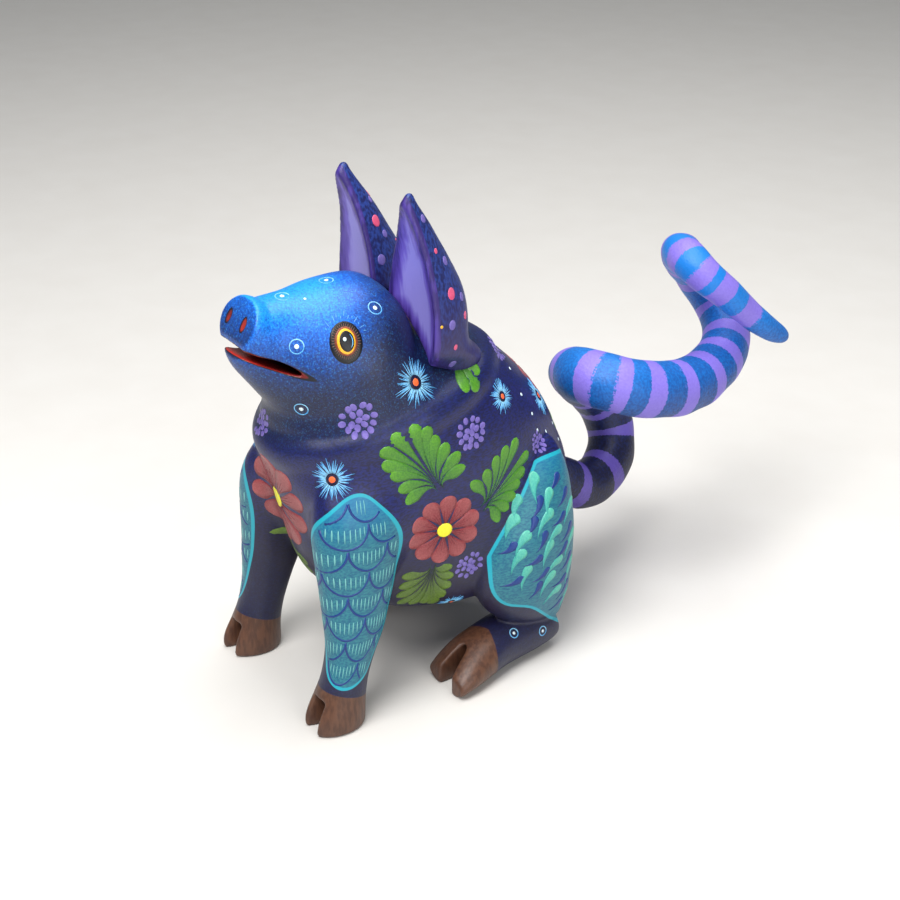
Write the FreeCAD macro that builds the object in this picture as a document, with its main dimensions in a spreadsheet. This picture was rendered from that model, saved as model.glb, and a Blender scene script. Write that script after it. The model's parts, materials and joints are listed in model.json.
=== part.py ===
"""Alebrije figure: a carved and painted wooden animal sitting on its haunches.

The figure is a torso block, a head block, four legs, two push-in ears and a corkscrew
tail, joined by round wooden dowels and pegs.  All lengths are millimetres.

Frame: +Z is up, the animal looks along -Y and its left side is +X.  Shapes are drawn with
Y = 0 on the line between the two front soles and Z = 0 on the ground.  Each finished piece
is then moved forward by `setback`, which puts the origin under the middle of the figure.
"""
import FreeCAD, Part
import os
from FreeCAD import Placement, Rotation, Vector

SIDES = (("left", 1), ("right", -1))
WORKSPACE = 300.0        # edge of the blocks used as cutting half-spaces

# Driving dimensions: alias, value, meaning.
DIMENSIONS = (
    ("setback", 74.6, "front soles to the middle of the figure's length"),
    ("torso_length", 90.0, "chest to rump"),
    ("torso_width", 54.0, "widest place, at the belly"),
    ("torso_height", 80.0, "belly to the top of the neck"),
    ("belly_clearance", 18.0, "ground to the underside of the belly"),
    ("head_length", 60.0, "snout to the back of the skull, along the head"),
    ("head_width", 42.0, "across the cheeks"),
    ("head_depth", 45.0, "crown to jaw, square to the head's length"),
    ("head_tilt", 29.0, "degrees that the snout points above level"),
    ("snout_forward", 9.9, "snout face ahead of the front soles"),
    ("snout_rise", 108.3, "height of the middle of the snout face"),
    ("snout_width", 16.8, "snout disc, side to side"),
    ("snout_depth", 13.6, "snout disc, top to bottom"),
    ("mouth_back", 10.0, "middle of the mouth slot behind the snout face, along the head"),
    ("mouth_drop", 5.4, "middle of the mouth slot below the head's middle line"),
    ("mouth_droop", 3.0, "degrees that the slot is nearer to level than the head is"),
    ("mouth_width", 28.0, "slot's ellipsoid, side to side"),
    ("mouth_depth", 28.0, "slot's ellipsoid, front to back"),
    ("mouth_gap", 4.1, "greatest opening of the lips"),
    ("neck_back", 30.0, "middle of the neck joint behind the front soles"),
    ("neck_rise", 81.2, "height of the middle of the neck joint"),
    ("neck_tilt", 15.0, "degrees that the neck joint rises to the rear"),
    ("leg_height", 68.0, "ground to the top of a front leg"),
    ("leg_track", 45.0, "between the middles of the two front soles"),
    ("leg_length", 25.6, "front leg at the shoulder, front to back"),
    ("leg_width", 16.0, "front leg at the shoulder, side to side"),
    ("haunch_rise", 10.0, "ground to the lowest point of a haunch"),
    ("haunch_height", 53.0, "lowest to highest point of a haunch"),
    ("haunch_length", 30.4, "haunch, front to back"),
    ("haunch_width", 16.0, "haunch, side to side"),
    ("haunch_out", 24.5, "middle of a haunch from the figure's middle plane"),
    ("haunch_back", 60.0, "middle of a haunch behind the front soles"),
    ("foot_heel", 71.0, "heel behind the front soles"),
    ("foot_length", 38.5, "heel to toe tips"),
    ("foot_width", 17.2, "hind foot across the toes"),
    ("foot_height", 14.0, "hind foot at the ankle"),
    ("cleft_width", 5.5, "gap between the toe tips of a hoof"),
    ("cleft_depth", 9.0, "how far a front hoof is split"),
    ("hind_cleft_depth", 13.0, "how far a hind hoof is split"),
    ("cleft_point", 0.1, "width left at the inner end of a split"),
    ("cleft_lean", 18.0, "degrees that a front hoof's split leans back with the hoof"),
    ("cleft_splay", 12.0, "degrees that a hind hoof's split turns outwards"),
    ("cleft_run_out", 4.0, "how far the splitting wedge starts ahead of the toe tips"),
    ("cleft_height", 20.0, "height of the splitting wedge"),
    ("ear_base", 82.0, "height where the ear blank starts, inside the head"),
    ("ear_height", 55.0, "ear blank, start to tip"),
    ("ear_depth", 27.0, "ear, front to back"),
    ("ear_width", 20.0, "ear, side to side"),
    ("ear_out", 13.0, "middle of an ear from the figure's middle plane"),
    ("ear_back", 36.0, "middle of an ear behind the front soles"),
    ("seat_back", 38.0, "middle of the ear's flat foot behind the front soles"),
    ("seat_rise", 95.0, "height of the middle of the ear's flat foot"),
    ("seat_splay", 41.7, "degrees that the ear's peg leans outwards"),
    ("seat_lean", 21.2, "degrees that the ear's peg leans to the rear"),
    ("scoop_height", 60.0, "hollow of the ear's ellipsoid, top to bottom"),
    ("scoop_width", 26.0, "hollow of the ear's ellipsoid, side to side"),
    ("scoop_depth", 16.0, "hollow of the ear's ellipsoid, front to back"),
    ("scoop_out", 0.0, "middle of the hollow outwards from the middle of the ear"),
    ("scoop_ahead", 10.8, "middle of the hollow ahead of the middle of the ear"),
    ("scoop_rise", 110.0, "height of the middle of the hollow"),
    ("scoop_turn", 9.0, "degrees that the hollow faces outwards"),
    ("scoop_lean", 6.0, "degrees that the top of the hollow leans forwards"),
    ("ear_peg_radius", 2.5, "round peg glued into the ear"),
    ("ear_peg_length", 17.0, "whole peg"),
    ("ear_peg_grip", 8.5, "part of the peg that sits in the head"),
    ("ear_gap", 0.25, "air around the ear's foot in its seat"),
    ("foot_gap", 0.1, "air under the ear's flat foot"),
    ("tail_peg_radius", 3.0, "round peg between rump and tail"),
    ("tail_peg_length", 22.0, "whole peg"),
    ("tail_peg_grip", 11.0, "part of the peg that sits in the tail"),
    ("tail_gap", 0.3, "air between the tail's foot and the rump"),
    ("tail_recess_radius", 7.8, "round recess in the rump for the tail's foot"),
    ("tail_recess_length", 12.0, "recess cutter, from the foot out into the air"),
    ("tail_slope", 33.5, "degrees that the tail's peg drops to the rear"),
    ("leg_dowel_radius", 2.5, "hidden dowel of a leg"),
    ("leg_dowel_length", 18.0, "hidden dowel of a leg"),
    ("front_dowel_out", 13.0, "middle of a front leg's dowel from the middle plane"),
    ("front_dowel_back", 11.0, "middle of a front leg's dowel behind the front soles"),
    ("front_dowel_rise", 52.0, "height of a front leg's dowel"),
    ("hind_dowel_out", 18.0, "middle of a hind leg's dowel from the middle plane"),
    ("hind_dowel_rise", 38.0, "height of a hind leg's dowel"),
    ("neck_dowel_radius", 4.0, "hidden dowel of the neck"),
    ("neck_dowel_length", 26.0, "hidden dowel of the neck"),
    ("glue_gap", 0.1, "glue film around a fixed dowel and in a leg's seat"),
    ("bore_run_out", 1.0, "how far a bore starts outside its piece"),
    ("slide_gap", 0.05, "running clearance around a peg that pulls out"),
    ("end_gap", 0.5, "room left at the blind end of a hole"),
)

# Torso sections, shares of torso_height up from the belly, then of torso_length for the
# chest line and the back line, then of torso_width across.
TORSO = (
    (0.00, 0.40, 0.733, 0.33),
    (0.025, 0.29, 0.811, 0.63),
    (0.10, 0.145, 0.906, 0.87),
    (0.225, 0.06, 0.972, 0.963),
    (0.375, 0.017, 0.972, 1.00),
    (0.525, -0.011, 0.922, 0.98),
    (0.675, -0.028, 0.844, 0.944),
    (0.80, 0.00, 0.744, 0.85),
    (0.90, 0.111, 0.633, 0.667),
    (1.00, 0.233, 0.50, 0.44),
)

# Head sections, shares of head_length back from the snout, of head_depth above and below
# the head's middle line, and of head_width across.
HEAD = (
    (0.02, 0.12, 0.18, 0.30),
    (0.12, 0.20, 0.275, 0.43),
    (0.22, 0.285, 0.34, 0.575),
    (0.333, 0.382, 0.411, 0.762),
    (0.425, 0.445, 0.47, 0.88),
    (0.517, 0.467, 0.518, 0.976),
    (0.633, 0.422, 0.533, 1.00),
    (0.767, 0.289, 0.52, 0.857),
    (0.90, 0.133, 0.40, 0.57),
    (0.967, 0.00, 0.267, 0.286),
)

# Snout disc, shares of head_length back from its face, then its size against the disc's.
SNOUT = ((0.0, 0.96), (0.02, 1.0), (0.06, 0.98), (0.10, 0.88))

# Front leg sections, shares of leg_height up from the sole, of half of leg_track outwards,
# of leg_length behind the sole's middle, then of leg_width and leg_length.
FRONT_LEG = (
    (0.00, 1.00, 0.01, 0.79, 0.64),
    (0.12, 1.00, 0.06, 0.79, 0.57),
    (0.235, 0.995, 0.165, 0.725, 0.515),
    (0.41, 0.97, 0.28, 0.81, 0.655),
    (0.62, 0.90, 0.375, 0.95, 0.875),
    (0.79, 0.835, 0.43, 1.00, 1.00),
    (0.91, 0.778, 0.45, 0.81, 0.845),
    (1.00, 0.71, 0.47, 0.375, 0.47),
)

# Haunch sections, shares of haunch_height, shifts from haunch_out and haunch_back, then
# shares of haunch_width and haunch_length.
HAUNCH = (
    (0.00, -1.5, 9.0, 0.31, 0.23),
    (0.075, -1.0, 3.0, 0.75, 0.69),
    (0.265, 0.0, -0.5, 1.00, 0.987),
    (0.49, 0.0, 0.0, 1.00, 1.00),
    (0.715, -1.5, 3.3, 0.875, 0.776),
    (0.887, -3.5, 6.8, 0.56, 0.49),
    (1.00, -5.5, 9.0, 0.19, 0.165),
)

# Hind foot sections, shares of foot_length forward from the heel, distance outwards,
# shares of foot_height for the middle and the thickness, share of foot_width.
HIND_FOOT = (
    (0.00, 21.5, 0.43, 0.57, 0.58),
    (0.125, 21.7, 0.50, 0.93, 0.81),
    (0.375, 22.4, 0.50, 1.04, 0.87),
    (0.625, 23.8, 0.44, 0.96, 0.93),
    (0.85, 25.4, 0.32, 0.75, 1.00),
    (1.00, 26.2, 0.18, 0.46, 0.93),
)

# Ear sections, shares of ear_height, shifts from ear_out and ear_back, then shares of
# ear_width and ear_depth.
EAR = (
    (0.00, 1.0, 2.5, 0.62, 0.48),
    (0.255, 0.2, 0.4, 0.92, 0.81),
    (0.40, 0.0, -1.8, 1.00, 0.93),
    (0.545, 0.1, -3.0, 0.89, 0.88),
    (0.69, 0.5, -4.4, 0.69, 0.68),
    (0.835, 1.2, -5.6, 0.43, 0.43),
    (0.927, 1.7, -6.1, 0.235, 0.23),
    (1.00, 2.0, -6.0, 0.08, 0.065),
)

# Corkscrew tail: points of its middle line (out, back, up) and its radius there.  The
# first point is the middle of the tail's foot.
TAIL = (
    (0.0, 84.5, 39.0, 6.8),
    (-0.8, 92.0, 34.0, 6.9),
    (-2.0, 99.2, 29.9, 7.0),
    (-6.0, 112.2, 29.9, 7.2),
    (-11.0, 118.7, 36.0, 7.1),
    (-14.0, 117.9, 45.1, 7.2),
    (-12.0, 108.9, 56.2, 7.5),
    (-4.5, 99.0, 64.9, 7.7),
    (6.0, 94.2, 69.2, 7.9),
    (13.6, 97.6, 69.0, 8.0),
    (16.8, 107.5, 65.9, 8.1),
    (15.0, 124.3, 62.4, 7.9),
    (8.0, 142.9, 63.6, 7.4),
    (-3.0, 154.1, 68.3, 6.9),
    (-11.0, 154.7, 75.2, 6.5),
    (-12.0, 147.2, 84.6, 6.2),
    (-5.0, 137.1, 92.9, 5.9),
    (3.0, 131.4, 95.7, 5.6),
    (9.0, 131.7, 93.2, 5.2),
    (14.0, 140.3, 84.5, 4.4),
    (16.0, 150.5, 75.3, 3.6),
    (16.8, 156.8, 70.8, 2.7),
    (17.0, 159.6, 68.9, 1.4),
)
TAIL_RINGS = 48          # circles that the tail is lofted through

doc = FreeCAD.newDocument("alebrije_figure")


def make_sheet():
    """Spreadsheet of the driving dimensions: alias, value and meaning in each row."""
    sheet = doc.addObject("Spreadsheet::Sheet", "dims")
    for row, (alias, value, meaning) in enumerate(DIMENSIONS, start=1):
        sheet.set("A%d" % row, alias)
        sheet.set("B%d" % row, str(value))
        sheet.set("C%d" % row, meaning)
        sheet.setAlias("B%d" % row, alias)
    doc.recompute()
    return sheet


sheet = make_sheet()


def dim(alias):
    """Number held in the sheet under this alias."""
    return float(sheet.get(alias))


def bind(feature, **expressions):
    """Bind properties of a feature to the sheet; words in the text are sheet aliases."""
    for name, text in expressions.items():
        feature.setExpression(name.replace("__", "."), text)


def oval(name, turn, centre, major, minor):
    """Elliptical section; centre, major and minor are expressions on the sheet."""
    section = doc.addObject("Part::Ellipse", name)
    section.Placement = Placement(Vector(), turn)
    bind(section, MajorRadius=major, MinorRadius=minor, Placement__Base__x=centre[0],
         Placement__Base__y=centre[1], Placement__Base__z=centre[2])
    return section


def loft(name, sections):
    """Smooth solid skin through the sections."""
    skin = doc.addObject("Part::Loft", name)
    skin.Sections = sections
    skin.Solid = True
    return skin


def fuse(name, pieces):
    joined = doc.addObject("Part::MultiFuse", name)
    joined.Shapes = pieces
    return joined


def cut(name, base, tools):
    """Base with every tool taken away."""
    tool = tools[0] if len(tools) == 1 else fuse(name + "_tools", tools)
    result = doc.addObject("Part::Cut", name)
    result.Base = base
    result.Tool = tool
    return result


def common(name, base, tool):
    result = doc.addObject("Part::Common", name)
    result.Base = base
    result.Tool = tool
    return result


def cylinder(name, centre, turn, radius, height):
    """Round rod whose middle is at centre; radius and height are sheet expressions."""
    rod = doc.addObject("Part::Cylinder", name)
    bind(rod, Radius=radius, Height=height)
    doc.recompute()
    half = turn.multVec(Vector(0, 0, rod.Height.Value / 2))
    rod.Placement = Placement(centre - half, turn)
    return rod


def half_space(name, point, turn):
    """Block that fills everything on the +Z side of a turned plane through the point."""
    block = doc.addObject("Part::Box", name)
    block.Length = WORKSPACE
    block.Width = WORKSPACE
    block.Height = WORKSPACE
    corner = turn.multVec(Vector(-WORKSPACE / 2, -WORKSPACE / 2, 0))
    block.Placement = Placement(point + corner, turn)
    return block


def finish(feature, node):
    """Name a finished piece and move it to the figure's own frame."""
    feature.Label = node
    feature.Placement.Base = feature.Placement.Base + Vector(0, -dim("setback"), 0)
    return feature


LEVEL = Rotation(Vector(0, 0, 1), 90)         # section across Z, long axis along Y
UPRIGHT = Rotation(Vector(1, 0, 0), 90)       # section across Y, long axis along X
SIDEWAYS = Rotation(Vector(0, 1, 0), 90)      # rod along X


def make_torso_blank():
    sections = []
    for index, (rise, front, back, width) in enumerate(TORSO):
        sections.append(oval(
            "torso_section_%d" % index, LEVEL,
            ("0", "dims.torso_length * %g" % ((front + back) / 2),
             "dims.belly_clearance + dims.torso_height * %g" % rise),
            "dims.torso_length * %g" % ((back - front) / 2),
            "dims.torso_width * %g" % (width / 2)))
    return loft("torso_blank", sections)


def make_head_blank():
    """Skull and snout disc, drawn along +Z and then laid along the tilted head line."""
    turn_up = Rotation(Vector(0, 0, 1), 90)
    sections = []
    for index, (back, above, below, width) in enumerate(HEAD):
        sections.append(oval(
            "head_section_%d" % index, turn_up,
            ("0", "dims.head_depth * %g" % ((below - above) / 2), "dims.head_length * %g" % back),
            "dims.head_depth * %g" % ((above + below) / 2), "dims.head_width * %g" % (width / 2)))
    skull = loft("skull", sections)
    rings = []
    for index, (back, size) in enumerate(SNOUT):
        rings.append(oval(
            "snout_section_%d" % index, Rotation(), ("0", "0", "dims.head_length * %g" % back),
            "dims.snout_width * %g" % (size / 2), "dims.snout_depth * %g" % (size / 2)))
    snout = loft("snout_disc", rings)
    head = fuse("head_blank", [skull, snout])
    head.Placement = Placement(Vector(0, -dim("snout_forward"), dim("snout_rise")), head_turn())
    return head


def head_turn():
    """Lays local Z along the head from the snout backwards, local -Y towards the crown."""
    return Rotation(Vector(1, 0, 0), -(90 + dim("head_tilt")))


def make_mouth():
    """Lens-shaped slot between the lips, open at the front under the snout disc."""
    slot = doc.addObject("Part::Ellipsoid", "mouth_slot")
    bind(slot, Radius1="dims.mouth_gap / 2", Radius2="dims.mouth_depth / 2",
         Radius3="dims.mouth_width / 2")
    snout = Vector(0, -dim("snout_forward"), dim("snout_rise"))
    middle = snout + head_turn().multVec(Vector(0, dim("mouth_drop"), dim("mouth_back")))
    tilt = Rotation(Vector(1, 0, 0), dim("mouth_droop") - dim("head_tilt"))
    along = Rotation(Vector(0, 0, 1), 90)
    slot.Placement = Placement(middle, tilt * along)
    return slot


def make_leg_blank(side, sign, grow=0.0):
    """Front leg from shoulder to hoof; grow makes the seat that is cut into the torso."""
    kind = "seat" if grow else "blank"
    sections = []
    for index, (rise, out, back, width, length) in enumerate(FRONT_LEG):
        sections.append(oval(
            "front_leg_%s_%s_%d" % (side, kind, index), LEVEL,
            ("dims.leg_track * %g" % (sign * out / 2), "dims.leg_length * %g" % back,
             "dims.leg_height * %g" % rise),
            "dims.leg_length * %g + %g" % (length / 2, grow),
            "dims.leg_width * %g + %g" % (width / 2, grow)))
    return loft("front_leg_%s_%s" % (side, kind), sections)


def make_haunch(side, sign, grow=0.0):
    kind = "seat" if grow else "blank"
    sections = []
    for index, (rise, out, back, width, length) in enumerate(HAUNCH):
        sections.append(oval(
            "haunch_%s_%s_%d" % (side, kind, index), LEVEL,
            ("%d * (dims.haunch_out + %g)" % (sign, out), "dims.haunch_back + %g" % back,
             "dims.haunch_rise + dims.haunch_height * %g" % rise),
            "dims.haunch_length * %g + %g" % (length / 2, grow),
            "dims.haunch_width * %g + %g" % (width / 2, grow)))
    return loft("haunch_%s_%s" % (side, kind), sections)


def make_hind_foot(side, sign):
    sections = []
    for index, (ahead, out, middle, thick, width) in enumerate(HIND_FOOT):
        sections.append(oval(
            "hind_foot_%s_%d" % (side, index), UPRIGHT,
            ("%g" % (sign * out), "dims.foot_heel - dims.foot_length * %g" % ahead,
             "dims.foot_height * %g" % middle),
            "dims.foot_width * %g" % (width / 2), "dims.foot_height * %g" % (thick / 2)))
    return loft("hind_foot_%s" % side, sections)


def make_cleft(name, tip, splay, depth, lean):
    """V-shaped split between the two toes of a hoof, from the tip backwards."""
    wedge = doc.addObject("Part::Wedge", name)
    overlap = dim("cleft_run_out")
    height = dim("cleft_height")
    mouth = dim("cleft_width") * (depth + overlap) / depth
    wedge.Xmin = -mouth / 2
    wedge.Xmax = mouth / 2
    wedge.X2min = -dim("cleft_point") / 2
    wedge.X2max = dim("cleft_point") / 2
    wedge.Ymin = -overlap
    wedge.Ymax = depth
    wedge.Zmin = -height / 2
    wedge.Zmax = height / 2
    wedge.Z2min = -height / 2
    wedge.Z2max = height / 2
    turn = Rotation(Vector(0, 0, 1), splay) * Rotation(Vector(1, 0, 0), lean)
    wedge.Placement = Placement(tip, turn)
    return wedge


def leg_dowel(side, sign, prefix, point):
    """Dowel along X and its blind hole, which runs through the joint of leg and torso."""
    centre = Vector(sign * point.x, point.y, point.z)
    dowel = cylinder(prefix + "_dowel_part_" + side, centre, SIDEWAYS, "dims.leg_dowel_radius",
                     "dims.leg_dowel_length")
    hole = cylinder(prefix + "_dowel_hole_" + side, centre, SIDEWAYS,
                    "dims.leg_dowel_radius + dims.glue_gap",
                    "dims.leg_dowel_length + 2 * dims.end_gap")
    return finish(dowel, prefix + "_dowel_" + side), hole


def make_front_leg(side, sign, hole):
    blank = make_leg_blank(side, sign)
    toe = dim("leg_length") * (FRONT_LEG[0][2] - FRONT_LEG[0][4] / 2)
    tip = Vector(sign * dim("leg_track") / 2, toe, 0)
    cleft = make_cleft("front_cleft_" + side, tip, 0, dim("cleft_depth"),
                       -dim("cleft_lean"))
    return finish(cut("front_leg_part_" + side, blank, [cleft, hole]), "front_leg_" + side)


def make_hind_leg(side, sign, hole, ground):
    """Haunch and foot carved from one block, flat under the foot."""
    blank = fuse("hind_leg_blank_" + side, [make_haunch(side, sign), make_hind_foot(side, sign)])
    toes = Vector(sign * HIND_FOOT[-1][1], dim("foot_heel") - dim("foot_length"), 0)
    cleft = make_cleft("hind_cleft_" + side, toes, sign * dim("cleft_splay"),
                       dim("hind_cleft_depth"), 0)
    return finish(cut("hind_leg_part_" + side, blank, [ground, cleft, hole]), "hind_leg_" + side)


def seat_turn(sign):
    """Turns local Z into the direction in which an ear pulls out of the head."""
    outwards = Rotation(Vector(0, 1, 0), sign * dim("seat_splay"))
    return outwards * Rotation(Vector(1, 0, 0), -dim("seat_lean"))


def seat_point(sign):
    return Vector(sign * dim("ear_out"), dim("seat_back"), dim("seat_rise"))


def make_ear_blank(side, sign, grow=0.0):
    kind = "seat" if grow else "blank"
    sections = []
    for index, (rise, out, back, width, depth) in enumerate(EAR):
        sections.append(oval(
            "ear_%s_%s_%d" % (side, kind, index), LEVEL,
            ("%d * (dims.ear_out + %g)" % (sign, out), "dims.ear_back + %g" % back,
             "dims.ear_base + dims.ear_height * %g" % rise),
            "dims.ear_depth * %g + %g" % (depth / 2, grow),
            "dims.ear_width * %g + %g" % (width / 2, grow)))
    return loft("ear_%s_%s" % (side, kind), sections)


def make_scoop(side, sign, shrink=0.0):
    """Long hollow down the front of an ear."""
    kind = "seat_scoop" if shrink else "ear_scoop"
    scoop = doc.addObject("Part::Ellipsoid", "%s_%s" % (kind, side))
    bind(scoop, Radius1="dims.scoop_height / 2 - %g" % shrink,
         Radius2="dims.scoop_width / 2 - %g" % shrink,
         Radius3="dims.scoop_depth / 2 - %g" % shrink)
    middle = Vector(sign * (dim("ear_out") + dim("scoop_out")),
                    dim("ear_back") - dim("scoop_ahead"), dim("scoop_rise"))
    outwards = Rotation(Vector(0, 0, 1), sign * dim("scoop_turn"))
    forwards = Rotation(Vector(1, 0, 0), dim("scoop_lean"))
    scoop.Placement = Placement(middle, outwards * forwards)
    return scoop


def make_ear_seat(side, sign):
    """Room for the ear's foot: the part of the ear above a flat facet on the head."""
    facet = half_space("ear_facet_" + side, seat_point(sign), seat_turn(sign))
    room = make_ear_blank(side, sign, dim("ear_gap"))
    pocket = common("ear_pocket_" + side, room, facet)
    return cut("ear_seat_" + side, pocket, [make_scoop(side, sign, dim("ear_gap"))])


def make_ear(side, sign):
    """Leaf-shaped ear with a flat foot, a scooped front and a blind hole for its peg."""
    turn = seat_turn(sign)
    pull = turn.multVec(Vector(0, 0, 1))
    lifted = seat_point(sign) + pull * dim("foot_gap")
    above = half_space("ear_foot_plane_" + side, lifted, turn)
    blank = common("ear_solid_" + side, make_ear_blank(side, sign), above)
    scoop = make_scoop(side, sign)
    reach = dim("ear_peg_length") - dim("ear_peg_grip")
    hole = cylinder("ear_hole_" + side, seat_point(sign) + pull * (reach / 2 + dim("end_gap") / 2),
                    turn, "dims.ear_peg_radius + dims.glue_gap",
                    "dims.ear_peg_length - dims.ear_peg_grip + dims.end_gap")
    return finish(cut("ear_part_" + side, blank, [scoop, hole]), "ear_" + side)


def make_ear_peg(side, sign):
    """Peg glued into the ear; its lower half slides in the head."""
    turn = seat_turn(sign)
    pull = turn.multVec(Vector(0, 0, 1))
    middle = seat_point(sign) + pull * (dim("ear_peg_length") / 2 - dim("ear_peg_grip"))
    peg = cylinder("ear_peg_part_" + side, middle, turn, "dims.ear_peg_radius",
                   "dims.ear_peg_length")
    socket_middle = seat_point(sign) - pull * ((dim("ear_peg_grip") + dim("end_gap")) / 2)
    socket = cylinder("ear_socket_" + side, socket_middle, turn,
                      "dims.ear_peg_radius + dims.slide_gap",
                      "dims.ear_peg_grip + dims.end_gap")
    return finish(peg, "ear_peg_" + side), socket


def tail_foot():
    return Vector(*TAIL[0][:3])


def tail_turn():
    """Turns local Z into the direction of the tail's peg, out of the rump."""
    return Rotation(Vector(1, 0, 0), -(90 + dim("tail_slope")))


def tail_line():
    """Unit vector along the tail's peg."""
    return tail_turn().multVec(Vector(0, 0, 1))


def tail_rod(name, ahead, behind, radius):
    """Round rod on the tail peg's line, from ahead of the tail's foot to behind it."""
    middle = tail_foot() + tail_line() * ((behind - ahead) / 2)
    return cylinder(name, middle, tail_turn(), radius, "%g" % (ahead + behind))


def make_tail():
    """Corkscrew: circles square to a smooth middle line, lofted into one tapering tube."""
    stations = [0.0]
    for near, far in zip(TAIL, TAIL[1:]):
        stations.append(stations[-1] + Vector(*near[:3]).distanceToPoint(Vector(*far[:3])))
    spine = Part.BSplineCurve()
    spine.interpolate(Points=[Vector(*point[:3]) for point in TAIL], Parameters=stations)
    girth = Part.BSplineCurve()
    radii = [Vector(station, point[3], 0) for station, point in zip(stations, TAIL)]
    girth.interpolate(Points=radii, Parameters=stations)
    rings = []
    across = Vector(1, 0, 0)
    for step in range(TAIL_RINGS + 1):
        at = dim("tail_gap") + (stations[-1] - dim("tail_gap")) * step / TAIL_RINGS
        along = spine.tangent(at)[0] if step else tail_line()
        across = (across - along * across.dot(along)).normalize()
        ring = Part.Circle(spine.value(at), along, girth.value(at).y)
        ring.XAxis = across
        rings.append(Part.Wire(ring.toShape()))
    tube = doc.addObject("Part::Feature", "tail_tube")
    tube.Shape = Part.makeLoft(rings, True)
    grip = dim("tail_peg_grip") + dim("end_gap")
    hole = tail_rod("tail_hole", dim("bore_run_out"), grip,
                    "dims.tail_peg_radius + dims.slide_gap")
    return finish(cut("tail_part", tube, [hole]), "tail")


def make_tail_seat():
    """Round recess and blind hole in the rump."""
    recess = tail_rod("tail_recess", 0.0, dim("tail_recess_length"), "dims.tail_recess_radius")
    buried = dim("tail_peg_length") - dim("tail_peg_grip") + dim("end_gap")
    socket = tail_rod("tail_socket", buried, dim("bore_run_out"),
                      "dims.tail_peg_radius + dims.slide_gap")
    return [recess, socket]


def make_tail_peg():
    buried = dim("tail_peg_length") - dim("tail_peg_grip")
    peg = tail_rod("tail_peg_part", buried, dim("tail_peg_grip"), "dims.tail_peg_radius")
    return finish(peg, "tail_peg")


def make_neck_dowel():
    """Dowel square to the neck joint, and its hole."""
    middle = Vector(0, dim("neck_back"), dim("neck_rise"))
    dowel = cylinder("neck_dowel_part", middle, neck_turn(), "dims.neck_dowel_radius",
                     "dims.neck_dowel_length")
    hole = cylinder("neck_hole", middle, neck_turn(), "dims.neck_dowel_radius + dims.glue_gap",
                    "dims.neck_dowel_length + 2 * dims.end_gap")
    return finish(dowel, "neck_dowel"), hole


def neck_turn():
    return Rotation(Vector(1, 0, 0), dim("neck_tilt"))


def build_figure():
    """Make every piece; returns the finished ones, each labelled with its own name."""
    pieces = []
    torso_tools = make_tail_seat()
    head_tools = [make_mouth()]
    ground = half_space("ground", Vector(), Rotation(Vector(1, 0, 0), 180))
    for side, sign in SIDES:
        front = Vector(dim("front_dowel_out"), dim("front_dowel_back"), dim("front_dowel_rise"))
        dowel, hole = leg_dowel(side, sign, "front_leg", front)
        pieces += [make_front_leg(side, sign, hole), dowel]
        torso_tools += [make_leg_blank(side, sign, dim("glue_gap")), hole]
        hind = Vector(dim("hind_dowel_out"), dim("haunch_back"), dim("hind_dowel_rise"))
        dowel, hole = leg_dowel(side, sign, "hind_leg", hind)
        pieces += [make_hind_leg(side, sign, hole, ground), dowel]
        torso_tools += [make_haunch(side, sign, dim("glue_gap")), hole]
        peg, socket = make_ear_peg(side, sign)
        pieces += [make_ear(side, sign), peg]
        seat = make_ear_seat(side, sign)
        head_tools += [seat, socket]
        torso_tools.append(seat)
    dowel, hole = make_neck_dowel()
    trunk = fuse("head_and_torso", [make_torso_blank(), make_head_blank()])
    middle = Vector(0, dim("neck_back"), dim("neck_rise"))
    above = half_space("neck_plane", middle, neck_turn())
    torso = cut("torso_part", trunk, [above, hole] + torso_tools)
    head = cut("head_part", common("head_solid", trunk, above), [hole] + head_tools)
    pieces += [finish(torso, "torso"), finish(head, "head"), dowel]
    pieces += [make_tail(), make_tail_peg()]
    doc.recompute()
    return pieces


def check(pieces):
    """Stop if any object failed to build or a piece isn't one valid solid."""
    for thing in doc.Objects:
        if "Invalid" in thing.State or "Error" in thing.State:
            raise RuntimeError("%s failed: %s" % (thing.Name, thing.State))
    for piece in pieces:
        shape = piece.Shape
        if shape.isNull() or not shape.isValid() or len(shape.Solids) != 1:
            raise RuntimeError("%s isn't one valid solid" % piece.Label)


def export(pieces):
    os.makedirs("parts", exist_ok=True)
    for piece in pieces:
        box = piece.Shape.BoundBox
        print("%-24s %9.1f mm3  x %6.1f %6.1f  y %6.1f %6.1f  z %6.1f %6.1f" % (
            piece.Label, piece.Shape.Volume, box.XMin, box.XMax, box.YMin, box.YMax,
            box.ZMin, box.ZMax))
        piece.Shape.exportStep("parts/%s.step" % piece.Label)


figure = build_figure()
check(figure)
export(figure)
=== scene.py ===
"""Looks of the alebrije figure: carved and painted wood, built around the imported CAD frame.

Working lengths are millimetres in the figure's own frame: the animal looks along -Y, its
left side is +X and +Z is up.  Meshes are scaled to metres when they become objects.
"""

import json
import math
import random

import bpy
import numpy as np
import openvdb
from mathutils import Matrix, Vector
from mathutils.bvhtree import BVHTree
from mathutils.kdtree import KDTree

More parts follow.
